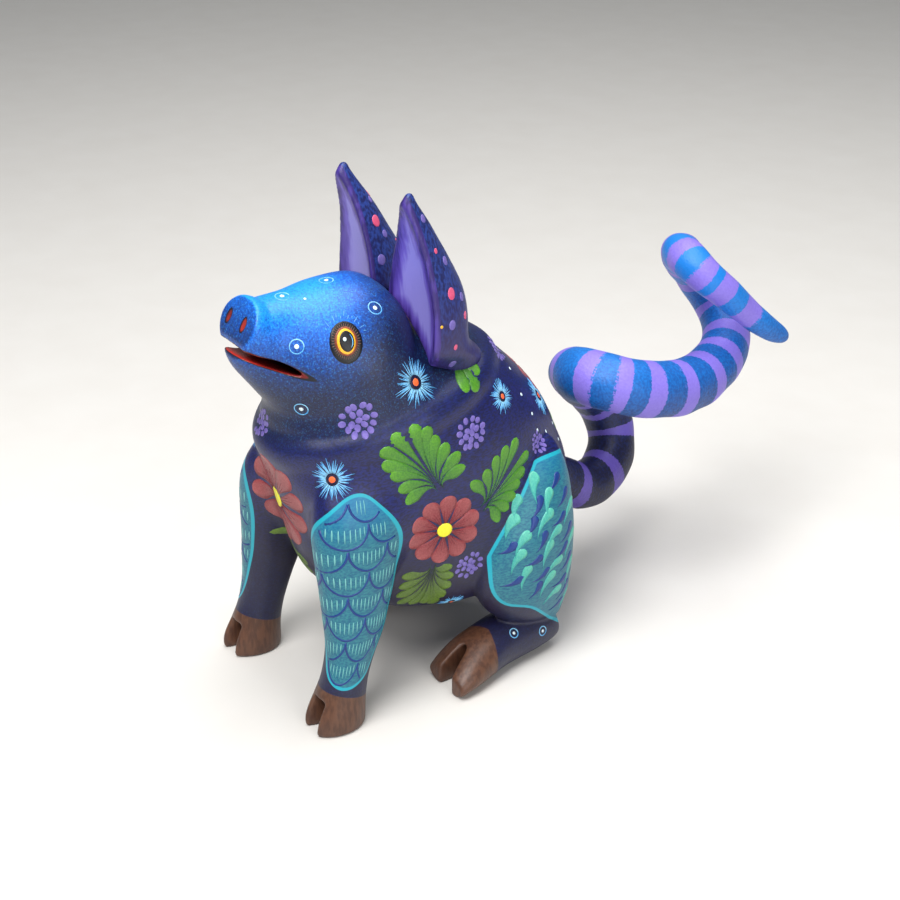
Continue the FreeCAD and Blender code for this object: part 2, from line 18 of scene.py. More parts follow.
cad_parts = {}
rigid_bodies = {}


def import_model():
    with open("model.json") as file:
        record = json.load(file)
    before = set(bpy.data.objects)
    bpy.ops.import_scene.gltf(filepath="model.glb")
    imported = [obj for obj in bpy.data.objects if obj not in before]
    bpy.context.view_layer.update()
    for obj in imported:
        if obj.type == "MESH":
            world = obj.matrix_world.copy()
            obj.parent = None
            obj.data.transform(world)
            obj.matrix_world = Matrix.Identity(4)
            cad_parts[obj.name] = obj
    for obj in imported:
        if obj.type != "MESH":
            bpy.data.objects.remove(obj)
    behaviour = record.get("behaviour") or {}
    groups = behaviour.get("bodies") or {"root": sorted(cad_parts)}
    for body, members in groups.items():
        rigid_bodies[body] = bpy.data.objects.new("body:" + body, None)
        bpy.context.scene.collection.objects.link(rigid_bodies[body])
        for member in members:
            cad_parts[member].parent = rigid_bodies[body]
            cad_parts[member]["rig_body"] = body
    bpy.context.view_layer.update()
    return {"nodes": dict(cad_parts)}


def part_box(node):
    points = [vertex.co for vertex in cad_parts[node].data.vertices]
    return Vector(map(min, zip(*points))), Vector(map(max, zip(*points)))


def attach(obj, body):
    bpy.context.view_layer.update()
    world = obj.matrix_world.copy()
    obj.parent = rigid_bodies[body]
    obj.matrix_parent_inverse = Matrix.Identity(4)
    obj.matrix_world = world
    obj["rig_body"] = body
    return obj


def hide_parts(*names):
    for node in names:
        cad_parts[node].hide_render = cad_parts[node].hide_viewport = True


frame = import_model()

MM = 0.001
STEP = 0.4               # spacing of the carving fields
BAND = 10.0              # fields know distances up to this far from a surface
SIDES = (("left", 1), ("right", -1))

# Corkscrew tail's middle line, from the foot to the tip.
TAIL_LINE = (
    (0.0, 9.9, 39.0), (-0.8, 17.4, 34.0), (-2.0, 24.6, 29.9), (-6.0, 37.6, 29.9),
    (-11.0, 44.1, 36.0), (-14.0, 43.3, 45.1), (-12.0, 34.3, 56.2), (-4.5, 24.4, 64.9),
    (6.0, 19.6, 69.2), (13.6, 23.0, 69.0), (16.8, 32.9, 65.9), (15.0, 49.7, 62.4),
    (8.0, 68.3, 63.6), (-3.0, 79.5, 68.3), (-11.0, 80.1, 75.2), (-12.0, 72.6, 84.6),
    (-5.0, 62.5, 92.9), (3.0, 56.8, 95.7), (9.0, 57.1, 93.2), (14.0, 65.7, 84.5),
    (16.0, 75.9, 75.3), (16.8, 82.2, 70.8), (17.0, 85.0, 68.9),
)

# Middle line of a front leg: height, distance outwards, distance along Y.
LEG_LINE = (
    (0.0, 22.5, -74.3), (8.2, 22.5, -73.1), (16.0, 22.4, -70.4), (27.9, 21.8, -67.4),
    (42.2, 20.3, -65.0), (53.7, 18.8, -63.6), (61.9, 17.5, -63.1), (68.0, 16.0, -62.6),
)

# Mouth slot: middle of the lips, its tilt and half sizes (across, deep, gap).
LIPS = np.array((0.0, -78.4, 98.7))
MOUTH_TILT = math.radians(26)
MOUTH_SIZE = (14.0, 14.0, 2.05)

# Nostrils on the snout disc: distance out, along Y and up, then half sizes of the hollows.
NOSTRIL = (3.7, -84.5, 108.4)
NOSTRIL_SHIFT = -0.9      # the pair sits a little to the animal's right on the disc
NOSTRIL_SIZE = (1.1, 0.6, 2.0)
SNOUT_TILT = math.radians(29)


# ---------------------------------------------------------------- fields and skins

def smoothstep(low, high, value):
    share = np.clip((value - low) / (high - low), 0, 1)
    return share * share * (3 - 2 * share)


class Block:
    """Regular block of sample points round some CAD nodes."""

    def __init__(self, nodes, margin=3.0):
        lows = np.min([np.array(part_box(n)[0]) for n in nodes], axis=0) / MM - margin
        highs = np.max([np.array(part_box(n)[1]) for n in nodes], axis=0) / MM + margin
        self.first = np.floor(lows / STEP).astype(int)
        self.shape = tuple(np.ceil(highs / STEP).astype(int) - self.first)

    def axes(self):
        """Coordinates of the points along X, Y and Z, ready to broadcast."""
        lines = [(self.first[i] + np.arange(self.shape[i], dtype=np.float32)) * STEP
                 for i in range(3)]
        return lines[0][:, None, None], lines[1][None, :, None], lines[2][None, None, :]

    def distances(self, node):
        """Signed distance to a CAD node at each point, negative inside."""
        mesh = frame["nodes"][node].data
        mesh.calc_loop_triangles()
        points = np.empty(len(mesh.vertices) * 3, np.float32)
        mesh.vertices.foreach_get("co", points)
        corners = np.empty(len(mesh.loop_triangles) * 3, np.int32)
        mesh.loop_triangles.foreach_get("vertices", corners)
        grid = openvdb.FloatGrid.createLevelSetFromPolygons(
            points.reshape(-1, 3) / MM, triangles=corners.reshape(-1, 3).astype(np.uint32),
            transform=openvdb.createLinearTransform(voxelSize=STEP), halfWidth=BAND / STEP)
        values = np.zeros(self.shape, np.float32)
        grid.copyToArray(values, ijk=tuple(int(i) for i in self.first))
        return values

    def sample(self, values, points):
        """Value of a field at any points, trilinear."""
        at = points / STEP - self.first
        cell = np.clip(np.floor(at).astype(int), 0, np.array(self.shape) - 2)
        share = np.clip(at - cell, 0, 1)
        total = np.zeros(len(points))
        for corner in np.ndindex(2, 2, 2):
            weight = np.prod(np.where(corner, share, 1 - share), axis=1)
            x, y, z = (cell + corner).T
            total += weight * values[x, y, z]
        return total

    def skin(self, values):
        """Quads of the surface where the field is zero; only its largest shell."""
        grid = openvdb.FloatGrid(BAND)
        grid.copyFromArray(values, ijk=tuple(int(i) for i in self.first))
        grid.transform = openvdb.createLinearTransform(voxelSize=STEP)
        points, quads = grid.convertToQuads(isovalue=0.0)
        quads = largest_shell(quads.astype(np.int64), len(points))
        used, quads = np.unique(quads, return_inverse=True)
        return points[used].astype(float), quads.reshape(-1, 4)


def largest_shell(quads, count):
    label = np.arange(count)
    while True:
        low = label[quads].min(axis=1)
        lowered = label.copy()
        np.minimum.at(lowered, quads.ravel(), np.repeat(low, 4))
        lowered = lowered[lowered]
        if (lowered == label).all():
            break
        label = lowered
    shell = label[quads[:, 0]]
    names, sizes = np.unique(shell, return_counts=True)
    return quads[shell == names[sizes.argmax()]]


def smooth_union(a, b, reach):
    blend = np.maximum(reach - np.abs(a - b), 0) / reach
    return np.minimum(a, b) - blend * blend * reach / 4


def soften(values, passes=2):
    """Round the edges of a field a little, as sanding does."""
    for _ in range(passes):
        for axis in range(3):
            ahead = np.roll(values, 1, axis)
            behind = np.roll(values, -1, axis)
            values = values / 2 + (ahead + behind) / 4
    return values


def hand_carved(points, height, wavelength, seed):
    """Slow uneven waves, in mm, that a knife leaves on a surface."""
    pick = random.Random(seed)
    total = np.zeros(len(points))
    waves = 14
    for _ in range(waves):
        heading = Vector((pick.gauss(0, 1), pick.gauss(0, 1), pick.gauss(0, 1))).normalized()
        stretch = wavelength * pick.uniform(0.7, 1.5)
        phase = pick.uniform(0, 2 * math.pi)
        total += np.sin(points @ np.array(heading) * (2 * math.pi / stretch) + phase)
    return total * height / math.sqrt(waves)


def vertex_normals(points, quads):
    a, b, c, d = (points[quads[:, i]] for i in range(4))
    facing = np.cross(c - a, d - b)
    normals = np.zeros_like(points)
    for i in range(4):
        np.add.at(normals, quads[:, i], facing)
    return normals / np.maximum(np.linalg.norm(normals, axis=1, keepdims=True), 1e-9)


def turned_outwards(block, values, points, quads):
    """Quads in the order that makes their normals point out of the wood."""
    normals = vertex_normals(points, quads)
    ahead = block.sample(values, points + normals * STEP)
    behind = block.sample(values, points - normals * STEP)
    return quads if (ahead - behind).mean() > 0 else quads[:, ::-1]


def carve(block, values, roughness, seed):
    """Mesh of a field with light knife waves: points, quads and normals."""
    values = soften(values)
    points, quads = block.skin(values)
    quads = turned_outwards(block, values, points, quads)
    normals = vertex_normals(points, quads)
    points = points + normals * hand_carved(points, roughness, 11.0, seed)[:, None]
    return points, quads, vertex_normals(points, quads)


# ---------------------------------------------------------------- meshes and pieces

def make_mesh(name, points, faces, normals=None, attributes=None):
    """Mesh object from mm points and a list of face arrays; attributes go on the points."""
    mesh = bpy.data.meshes.new(name)
    mesh.vertices.add(len(points))
    mesh.vertices.foreach_set("co", (np.asarray(points) * MM).astype(np.float32).ravel())
    corners = np.concatenate([np.asarray(f).ravel() for f in faces]).astype(np.int32)
    sizes = np.concatenate([np.full(len(f), np.shape(f)[1]) for f in faces])
    starts = np.concatenate([[0], np.cumsum(sizes)[:-1]]).astype(np.int32)
    mesh.loops.add(len(corners))
    mesh.loops.foreach_set("vertex_index", corners)
    mesh.polygons.add(len(sizes))
    mesh.polygons.foreach_set("loop_start", starts)
    mesh.update(calc_edges=True)
    mesh.shade_smooth()
    for key, values in (attributes or {}).items():
        layer = mesh.attributes.new(key, "FLOAT", "POINT")
        layer.data.foreach_set("value", np.asarray(values, np.float32))
    if normals is not None:
        mesh.normals_split_custom_set_from_vertices(normals.tolist())
    obj = bpy.data.objects.new(name, mesh)
    bpy.context.scene.collection.objects.link(obj)
    return obj


def closed_part(points, quads):
    """The used points of some quads, with each open rim closed by a fan of triangles."""
    used, local = np.unique(quads, return_inverse=True)
    local = local.reshape(-1, 4)
    edges = np.concatenate([local[:, [i, (i + 1) % 4]] for i in range(4)])
    count = len(used)
    codes = edges[:, 0] * count + edges[:, 1]
    twins = edges[:, 1] * count + edges[:, 0]
    rim = edges[~np.isin(codes, twins)]
    extra = []
    caps = []
    follow = {int(a): int(b) for a, b in rim}
    while follow:
        start, at = next(iter(follow.items()))
        loop = [start]
        del follow[start]
        while at in follow:
            loop.append(at)
            at = follow.pop(at)
        middle = count + len(extra)
        extra.append(points[used[loop]].mean(axis=0))
        caps += [(b, a, middle) for a, b in zip(loop, loop[1:] + loop[:1])]
    return used, local, np.array(extra).reshape(-1, 3), np.array(caps, int).reshape(-1, 3)


# ---------------------------------------------------------------- paint and wood

def rgb(red, green, blue):
    """Shader colour of an 8-bit display colour."""
    def linear(value):
        value = value / 255
        return value / 12.92 if value <= 0.04045 else ((value + 0.055) / 1.055) ** 2.4
    return (linear(red), linear(green), linear(blue), 1.0)


NAVY = rgb(11, 12, 58)
ULTRAMARINE = rgb(18, 28, 100)
# greyish plum of the painted shade low on the body
BELLY_SHADE = rgb(32, 28, 46)
AZURE = rgb(16, 150, 245)
TURQUOISE = rgb(24, 164, 184)
HOOF = rgb(98, 64, 46)
BARE_WOOD = rgb(196, 160, 112)
LAVENDER = rgb(138, 120, 222)
SATIN = 0.42             # roughness of the paint on the body and the ears


class Shader:
    """A material and the nodes that paint it."""

    def __init__(self, name, roughness=0.45):
        self.material = bpy.data.materials.new(name)
        self.material.use_nodes = True
        self.tree = self.material.node_tree
        self.surface = self.tree.nodes["Principled BSDF"]
        self.surface.inputs["Roughness"].default_value = roughness
        self.place = self.add("TexCoord").outputs["Object"]

    def add(self, kind, **inputs):
        """New node; each input is a value or an output to link."""
        node = self.tree.nodes.new("ShaderNode" + kind)
        for key, value in inputs.items():
            self.feed(node.inputs[key.replace("_", " ")], value)
        return node

    def feed(self, socket, value):
        if isinstance(value, bpy.types.NodeSocket):
            self.tree.links.new(value, socket)
        else:
            socket.default_value = value

    def attribute(self, name):
        node = self.add("Attribute")
        node.attribute_name = name
        return node.outputs["Fac"]

    def math(self, operation, *values, clamp=False):
        node = self.add("Math")
        node.operation = operation
        node.use_clamp = clamp
        for socket, value in zip(node.inputs, values):
            self.feed(socket, value)
        return node.outputs[0]

    def span(self, value, low, high, start=0.0, end=1.0):
        """Value mapped smoothly from low..high to start..end."""
        node = self.add("MapRange", Value=value)
        node.interpolation_type = "SMOOTHSTEP"
        for socket, number in zip(list(node.inputs)[1:5], (low, high, start, end)):
            socket.default_value = number
        return node.outputs["Result"]

    def mix(self, share, first, second):
        node = self.add("Mix")
        node.data_type = "RGBA"
        self.feed(node.inputs["Factor"], share)
        self.feed([i for i in node.inputs if i.name == "A"][2], first)
        self.feed([i for i in node.inputs if i.name == "B"][2], second)
        return [o for o in node.outputs if o.name == "Result"][2]

    def ramp(self, share, stops):
        node = self.add("ValToRGB", Fac=share)
        marks = node.color_ramp.elements
        while len(marks) < len(stops):
            marks.new(0.5)
        for mark, (at, colour) in zip(marks, stops):
            mark.position = at
            mark.color = colour
        return node.outputs["Color"]

    def noise(self, per_mm, detail=2.0, stretch=(1, 1, 1), turn=(0, 0, 0)):
        """Noise with so many lumps in a millimetre, longer where stretch is small."""
        mapping = self.add("Mapping", Vector=self.place)
        mapping.inputs["Scale"].default_value = stretch
        mapping.inputs["Rotation"].default_value = turn
        node = self.add("TexNoise", Vector=mapping.outputs["Vector"])
        node.inputs["Scale"].default_value = per_mm / MM
        node.inputs["Detail"].default_value = detail
        return node.outputs["Fac"]

    def sway(self, noise, reach):
        """Noise as a small shift either way, for an uneven edge or tone."""
        return self.span(noise, 0.3, 0.7, -reach, reach)

    def bare_joint(self, colour, grain):
        """Bare wood where another piece is seated, and the colour elsewhere."""
        bare = self.mix(grain, rgb(170, 132, 88), BARE_WOOD)
        return self.mix(self.span(self.attribute("joint"), -0.9, -1.1), colour, bare)

    def height(self):
        """Height above the ground in mm."""
        split = self.add("SeparateXYZ", Vector=self.place)
        return self.math("DIVIDE", split.outputs["Z"], MM)

    def finish(self, colour, relief, depth):
        """Connect the colour, and bumps of so many mm made from relief."""
        self.feed(self.surface.inputs["Base Color"], colour)
        bump = self.add("Bump", Height=relief)
        bump.inputs["Distance"].default_value = depth * MM
        self.feed(self.surface.inputs["Normal"], bump.outputs["Normal"])
        return self.material


def skin_paint(name):
    """Whole paint scheme of the painted body; masks on the mesh say where each part goes."""
    shader = Shader(name, SATIN)
    grain = shader.noise(0.9, 3, (1, 1, 0.25))
    speckle = shader.noise(1.5, 2)
    dust = shader.noise(2.6, 1)
    hatch = shader.noise(2.2, 2, (1, 0.35, 1), (0.7, 0, 0))
    height = shader.height()

    # Head: an airbrushed fade from azure on top to navy at the neck and jaw, partly painted light
    # on top and painted shade at the jaw.
    shade = shader.math("ADD", shader.attribute("fade_and_light"), shader.sway(speckle, 0.10))
    head = shader.ramp(shade, (
        (0.0, rgb(16, 22, 56)), (0.22, rgb(20, 48, 104)), (0.45, rgb(10, 72, 160)),
        (0.68, rgb(10, 104, 214)), (0.95, AZURE)))
    # Pale sponge dabs of paint, stronger where the head is brighter.
    light = shader.math("MULTIPLY", shader.span(dust, 0.56, 0.70),
                        shader.span(shade, 0.0, 0.7, 0.12, 0.42))
    head = shader.mix(light, head, rgb(70, 170, 240))
    dark = shader.math("MULTIPLY", shader.span(dust, 0.44, 0.32), 0.45)
    head = shader.mix(dark, head, rgb(8, 36, 96))

    torso = shader.mix(shader.span(hatch, 0.35, 0.65), NAVY, ULTRAMARINE)
    # Painted shade: the navy greys towards plum lower down on the body.
    low = shader.span(height, 62, 30, 0, 0.75)
    torso = shader.mix(low, torso, BELLY_SHADE)
    colour = shader.mix(shader.attribute("head"), torso, head)

    panel = shader.attribute("panel")
    teal = shader.mix(shader.span(hatch, 0.3, 0.7), rgb(14, 92, 124), rgb(42, 124, 136))
    teal = shader.mix(shader.span(height, 66, 50, 0.55, 0), teal, rgb(10, 120, 176))
    edge = shader.span(panel, -0.95, -0.7)
    teal = shader.mix(edge, teal, TURQUOISE)
    colour = shader.mix(shader.span(panel, 0.05, -0.05), colour, teal)

    wood = shader.mix(shader.span(grain, 0.35, 0.65), rgb(78, 49, 36), HOOF)
    hoof = shader.span(shader.attribute("hoof"), 0.08, -0.08)
    colour = shader.mix(hoof, colour, wood)

    # Painted shade: the mouth's red turns near black deep in the slot.
    gape_shade = shader.ramp(shader.attribute("gape_shade"), (
        (0.0, rgb(196, 48, 40)), (0.45, rgb(150, 30, 28)), (0.8, rgb(34, 12, 14))))
    colour = shader.mix(shader.span(shader.attribute("mouth"), 1.22, 1.16), colour,
                        rgb(12, 14, 26))
    colour = shader.mix(shader.span(shader.attribute("mouth"), 1.07, 1.03), colour, gape_shade)
    nostril = shader.ramp(shader.attribute("nostril"), (
        (0.0, rgb(186, 52, 40)), (0.80, rgb(160, 42, 34)), (0.95, rgb(16, 14, 30))))
    colour = shader.mix(shader.span(shader.attribute("nostril"), 1.14, 1.06), colour, nostril)
    colour = shader.bare_joint(colour, grain)

    relief = shader.math("ADD", grain, shader.math("MULTIPLY", speckle, 0.6))
    return shader.finish(colour, relief, 0.06)


def ear_paint(name):
    shader = Shader(name, SATIN)
    streak = shader.noise(0.9, 2, (1, 1, 0.07))
    flecks = shader.noise(1.6, 2, (1, 1, 0.45), (0.4, 0.3, 0))
    from_rim = shader.attribute("from_rim")
    # Painted shade: the scoop's lilac darkens towards its rim.
    depth = shader.math("ADD", shader.span(from_rim, 0, 6.5), shader.sway(streak, 0.13))
    lilac = shader.ramp(depth, (
        (0.0, rgb(50, 34, 108)), (0.22, rgb(84, 62, 162)), (0.5, rgb(112, 92, 196)),
        (0.85, rgb(150, 142, 226))))
    outer = shader.mix(shader.span(flecks, 0.35, 0.65), rgb(20, 26, 84), rgb(38, 62, 140))
    outer = shader.mix(shader.span(shader.height(), 118, 96, 0, 0.7), outer, rgb(44, 26, 84))
    colour = shader.mix(shader.span(shader.attribute("inner"), 0.05, -0.05), outer, lilac)
    colour = shader.bare_joint(colour, streak)
    relief = shader.math("ADD", streak, flecks)
    return shader.finish(colour, relief, 0.06)


def tail_paint(name):
    shader = Shader(name, 0.5)
    speckle = shader.noise(1.4, 2)
    tuft = shader.noise(1.3, 2)
    height = shader.height()
    band = shader.math("ADD", shader.attribute("band"), shader.sway(tuft, 0.12))
    # Darker low on the coils: the blue falls to navy and the lavender to a deeper purple, partly
    # paint and partly painted shade.
    rise = shader.math("ADD", shader.span(height, 24, 100), shader.sway(speckle, 0.11))
    blue = shader.ramp(rise, (
        (0.0, rgb(10, 10, 44)), (0.30, rgb(16, 36, 96)), (0.55, rgb(14, 84, 164)),
        (0.92, rgb(14, 124, 214))))
    lavender = shader.ramp(shader.span(height, 24, 70), (
        (0.0, rgb(82, 64, 146)), (0.6, rgb(116, 100, 200)), (1.0, LAVENDER)))
    lavender = shader.mix(shader.span(speckle, 0.3, 0.7, 0, 0.25), lavender, rgb(110, 90, 200))
    colour = shader.mix(shader.span(band, 0.08, -0.08), blue, lavender)
    colour = shader.bare_joint(colour, tuft)
    return shader.finish(colour, shader.math("ADD", speckle, tuft), 0.10)


def bare_wood(name):
    """Pale turned copal wood with long grain."""
    shader = Shader(name, 0.6)
    rings = shader.noise(0.5, 4, (1, 0.2, 1))
    pores = shader.noise(2.4, 2, (1, 0.12, 1))
    colour = shader.ramp(rings, (
        (0.3, rgb(172, 130, 84)), (0.5, BARE_WOOD), (0.7, rgb(214, 184, 138))))
    colour = shader.mix(shader.span(pores, 0.62, 0.75, 0, 0.5), colour, rgb(128, 92, 58))
    return shader.finish(colour, pores, 0.05)


def brush_paint(name, base, tip, roughness=0.4):
    """Acrylic of one brush: base colour at the start of a stroke and tip at its end."""
    shader = Shader(name, roughness)
    bristle = shader.noise(2.2, 2)
    reach = shader.attribute("reach")
    share = shader.math("ADD", reach, shader.sway(bristle, 0.2), clamp=True)
    colour = shader.mix(share, base, tip)
    return shader.finish(colour, bristle, 0.03)


# ---------------------------------------------------------------- body, ears and tail

BODY_NODES = {
    "torso": "body_paint", "head": "head_paint",
    "front_leg_left": "leg_paint", "front_leg_right": "leg_paint",
    "hind_leg_left": "leg_paint", "hind_leg_right": "leg_paint",
}
JOINT_NODES = ("ear_left", "ear_right", "ear_peg_left", "ear_peg_right", "tail", "tail_peg")

# Painted panel round the outside of a front leg: angle from straight ahead, height.
LEG_PANEL = (
    (64, 13), (96, 14), (124, 17), (141, 24), (149, 32), (150, 41), (146, 49), (134, 56),
    (115, 61), (90, 64.5), (63, 65.5), (36, 64.5), (13, 61), (-6, 56.5), (-17, 49.5), (-22, 41),
    (-21, 32), (-13, 24), (4, 17), (32, 14),
)
NECK_BASE = 55           # height above which the crease is filled
NECK_BLUR = 25           # field samples that the neck's crease is smoothed over
NECK_FILLS = 3           # times that the crease is filled
LIP_DROP = 1.2           # the painted mouth is this much lower at its upper lip than the slot
LEG_GIRTH = 8.5          # mean radius of a front leg, for lengths round it

# Painted panel on the outside of a haunch: distance along Y, height.
HAUNCH_TOP = 60.0        # height of the haunch panel's rounded top
HAUNCH_ROUND = 0.03      # how fast that top falls away to both sides
HAUNCH_PANEL = (
    (-9.6, 60.0), (-16.4, 55.8), (-23.6, 48.4), (-27.9, 41.6), (-29.4, 33.8), (-28.9, 27.3),
    (-25.3, 22.6), (-17.9, 19.8), (-11.0, 13.6), (-6.6, 9.7), (5.0, 4.0), (12.0, 30.0),
    (8.0, 55.0), (0.0, 62.0), (-5.0, 61.5),
)


def inside_outline(points, outline):
    """Signed distance from 2-D points to a closed outline, negative inside."""
    outline = np.array(outline, float)
    nearest = np.full(len(points), np.inf)
    inside = np.zeros(len(points), bool)
    for start, end in zip(outline, np.roll(outline, -1, axis=0)):
        along = end - start
        offset = points - start
        share = np.clip(offset @ along / (along @ along), 0, 1)
        nearest = np.minimum(nearest, np.linalg.norm(offset - share[:, None] * along, axis=1))
        crosses = (start[1] > points[:, 1]) != (end[1] > points[:, 1])
        rise = along[1] if along[1] else 1e-9
        meet = start[0] + along[0] * (points[:, 1] - start[1]) / rise
        inside ^= crosses & (points[:, 0] < meet)
    return np.where(inside, -nearest, nearest)


def haunch_roof(along):
    """Height of the haunch panel's rounded top at a distance along Y."""
    return HAUNCH_TOP - HAUNCH_ROUND * (along + 6) ** 2


def leg_middle(height):
    """Middle of a left front leg at this height."""
    rise, out, back = np.array(LEG_LINE).T
    return np.interp(height, rise, out), np.interp(height, rise, back)


def leg_panel_outline():
    """Outline of a front leg's panel in mm round the leg and height."""
    return [(math.radians(a) * LEG_GIRTH, z) for a, z in smooth_loop(LEG_PANEL, 4)]


def leg_panel_distance(points):
    """Distance to the outline of a front leg's panel, measured on the leg."""
    side = np.sign(points[:, 0])
    out, back = leg_middle(points[:, 2])
    angle = np.arctan2(points[:, 0] * side - out, -(points[:, 1] - back))
    angle = np.where(angle < -math.radians(120), angle + 2 * math.pi, angle)
    flat = np.column_stack([angle * LEG_GIRTH, points[:, 2]])
    return inside_outline(flat, leg_panel_outline())


def curve_point(a, b, c, d, t):
    """Point at share t of a Catmull-Rom curve's stretch from b to c."""
    return 0.5 * (2 * b + (c - a) * t + (2 * a - 5 * b + 4 * c - d) * t * t
                  + (3 * b - 3 * c + d - a) * t ** 3)


def smooth_loop(points, parts):
    """Closed Catmull-Rom curve through 2-D points."""
    result = []
    count = len(points)
    for i in range(count):
        a, b, c, d = (np.array(points[(i + k) % count], float) for k in (-1, 0, 1, 2))
        for step in range(parts):
            result.append(curve_point(a, b, c, d, step / parts))
    return result


def mouth_axes():
    """Directions into the mouth and square to its lips."""
    return (np.array((0, math.cos(MOUTH_TILT), -math.sin(MOUTH_TILT))),
            np.array((0, math.sin(MOUTH_TILT), math.cos(MOUTH_TILT))))


def mouth_masks(points):
    """How far outside the mouth slot each point is (1 on its wall), and how deep it is, for the
    painted shade inside.
    """
    offset = points - LIPS
    inward, upward = mouth_axes()
    deep = offset @ inward
    rise = (offset @ upward + LIP_DROP / 2) / (MOUTH_SIZE[2] - LIP_DROP / 2)
    shares = (offset[:, 0] / MOUTH_SIZE[0], deep / MOUTH_SIZE[1], rise)
    gape_shade = np.clip((deep + 10) / 24, 0, 1)
    return np.sqrt(sum(s * s for s in shares)), gape_shade


def nostril_shape(points):
    """Above 1 outside the nostrils' hollows and below 1 inside them."""
    offset = points - np.array((0, *NOSTRIL[1:]))
    across = (np.abs(offset[:, 0] - NOSTRIL_SHIFT) - NOSTRIL[0]) / NOSTRIL_SIZE[0]
    deep = offset[:, 1] * math.cos(SNOUT_TILT) - offset[:, 2] * math.sin(SNOUT_TILT)
    rise = offset[:, 1] * math.sin(SNOUT_TILT) + offset[:, 2] * math.cos(SNOUT_TILT)
    return np.sqrt(across ** 2 + (deep / NOSTRIL_SIZE[1]) ** 2 + (rise / NOSTRIL_SIZE[2]) ** 2)


FAR = 5.0                # mask value that keeps a paint off
FRONT_LEGS = -48         # front legs lie ahead of this distance along Y
LEGS_TOP = 70            # and all leg paint below this height


def body_masks(block, fields, points, normals):
    """Where the body's paint changes, for each point of its skin."""
    near = {n: block.sample(fields[n], points) for n in ("torso", "head")}
    head = smoothstep(-2.5, 6.0, near["torso"] - near["head"])
    # Head tone: an airbrushed fade, brighter on top and darker at the jaw, partly painted light and
    # painted shade; also darker on the snout's front disc and towards the neck.
    height = np.clip((points[:, 2] - 84) / 30, 0, 1) ** 1.25
    facing = normals @ np.array((0, -math.cos(SNOUT_TILT), math.sin(SNOUT_TILT)))
    disc = 0.32 * smoothstep(0.80, 0.96, facing) * (points[:, 1] < -80)
    rear = 0.55 * smoothstep(-66, -48, points[:, 1])
    mouth, deep = mouth_masks(points)
    is_head = near["torso"] - near["head"] > -1
    outside = points + normals * 1.5
    joint = np.min([block.sample(fields[n], outside) for n in JOINT_NODES], axis=0)
    front = points[:, 1] < FRONT_LEGS
    low = points[:, 2] < LEGS_TOP
    leg = leg_panel_distance(points)
    haunch = inside_outline(points[:, 1:], smooth_loop(HAUNCH_PANEL, 4))
    haunch = np.maximum(haunch, 0.5 - near["torso"])
    haunch = np.maximum(haunch, points[:, 2] - haunch_roof(points[:, 1]))
    hoof = points[:, 2] - 11.0 + 0.3 * (points[:, 1] + 74)
    toe = points[:, 1] + 27.0 + 0.25 * np.abs(np.abs(points[:, 0]) - 25)
    hoof = np.where(front, hoof, np.where(points[:, 2] < 16, toe, FAR))
    return {
        "head": head, "fade_and_light": np.clip(1.08 * height - 0.10 - disc - rear, 0, 1),
        "mouth": np.where(is_head, mouth, 3), "gape_shade": deep, "joint": joint,
        "hoof": np.where(low, hoof, FAR), "nostril": nostril_shape(points),
        "panel": np.where(low, np.where(front, leg, haunch), FAR),
    }


def blurred(values, width, passes=3):
    """Running mean over so many samples along each axis, edge values held."""
    for axis in range(3):
        for _ in range(passes):
            ends = [(0, 0)] * 3
            ends[axis] = (width // 2 + 1, width // 2)
            total = np.cumsum(np.pad(values, ends, mode="edge"), axis=axis, dtype=np.float64)
            count = values.shape[axis]
            late = np.take(total, range(width, width + count), axis=axis)
            early = np.take(total, range(count), axis=axis)
            values = ((late - early) / width).astype(np.float32)
    return values


def filled(values, keep, width):
    """Field with its creases filled where keep is 1; rounded parts stay as they are."""
    return values - keep * np.maximum(values - blurred(values, width), 0)


def filled_neck(block, values):
    """Field with the crease between head and chest filled like a smooth neck."""
    _, y, z = block.axes()
    cut = int((NECK_BASE - block.first[2] * STEP) / STEP)
    part = values[:, :, cut:]
    z = z[:, :, cut:]
    keep = (smoothstep(54, 68, z) * smoothstep(102, 86, z)
            * np.maximum(smoothstep(-70, -58, y), smoothstep(88, 76, z)))
    for _ in range(NECK_FILLS):
        part = filled(part, keep, NECK_BLUR)
    return np.concatenate([values[:, :, :cut], part.astype(np.float32)], axis=2)


def lowered_lip(block, values):
    """Field with the upper lip brought down, so that the mouth is a narrower slot."""
    x, y, z = block.axes()
    _, upward = mouth_axes()
    rise = (y - LIPS[1]) * upward[1] + (z - LIPS[2]) * upward[2]
    steps = round(LIP_DROP / STEP)
    shifted = np.concatenate([values[:, :, steps:], values[:, :, -steps:]], axis=2)
    keep = smoothstep(4.5, 3.0, rise) * smoothstep(-1.6, -0.8, rise) * smoothstep(-58, -62, y)
    keep = keep * (np.abs(x) < 18)
    return values + keep * (np.minimum(values, shifted) - values)


def hollowed(block, values):
    """Field with the two nostrils sunk into the snout disc."""
    x, y, z = np.broadcast_arrays(*block.axes())
    near = (z > 100) & (y < -78)
    points = np.column_stack([x[near], y[near], z[near]])
    values = values.copy()
    pit = (nostril_shape(points) - 1) * min(NOSTRIL_SIZE)
    values[near] = np.maximum(values[near], -pit)
    return values


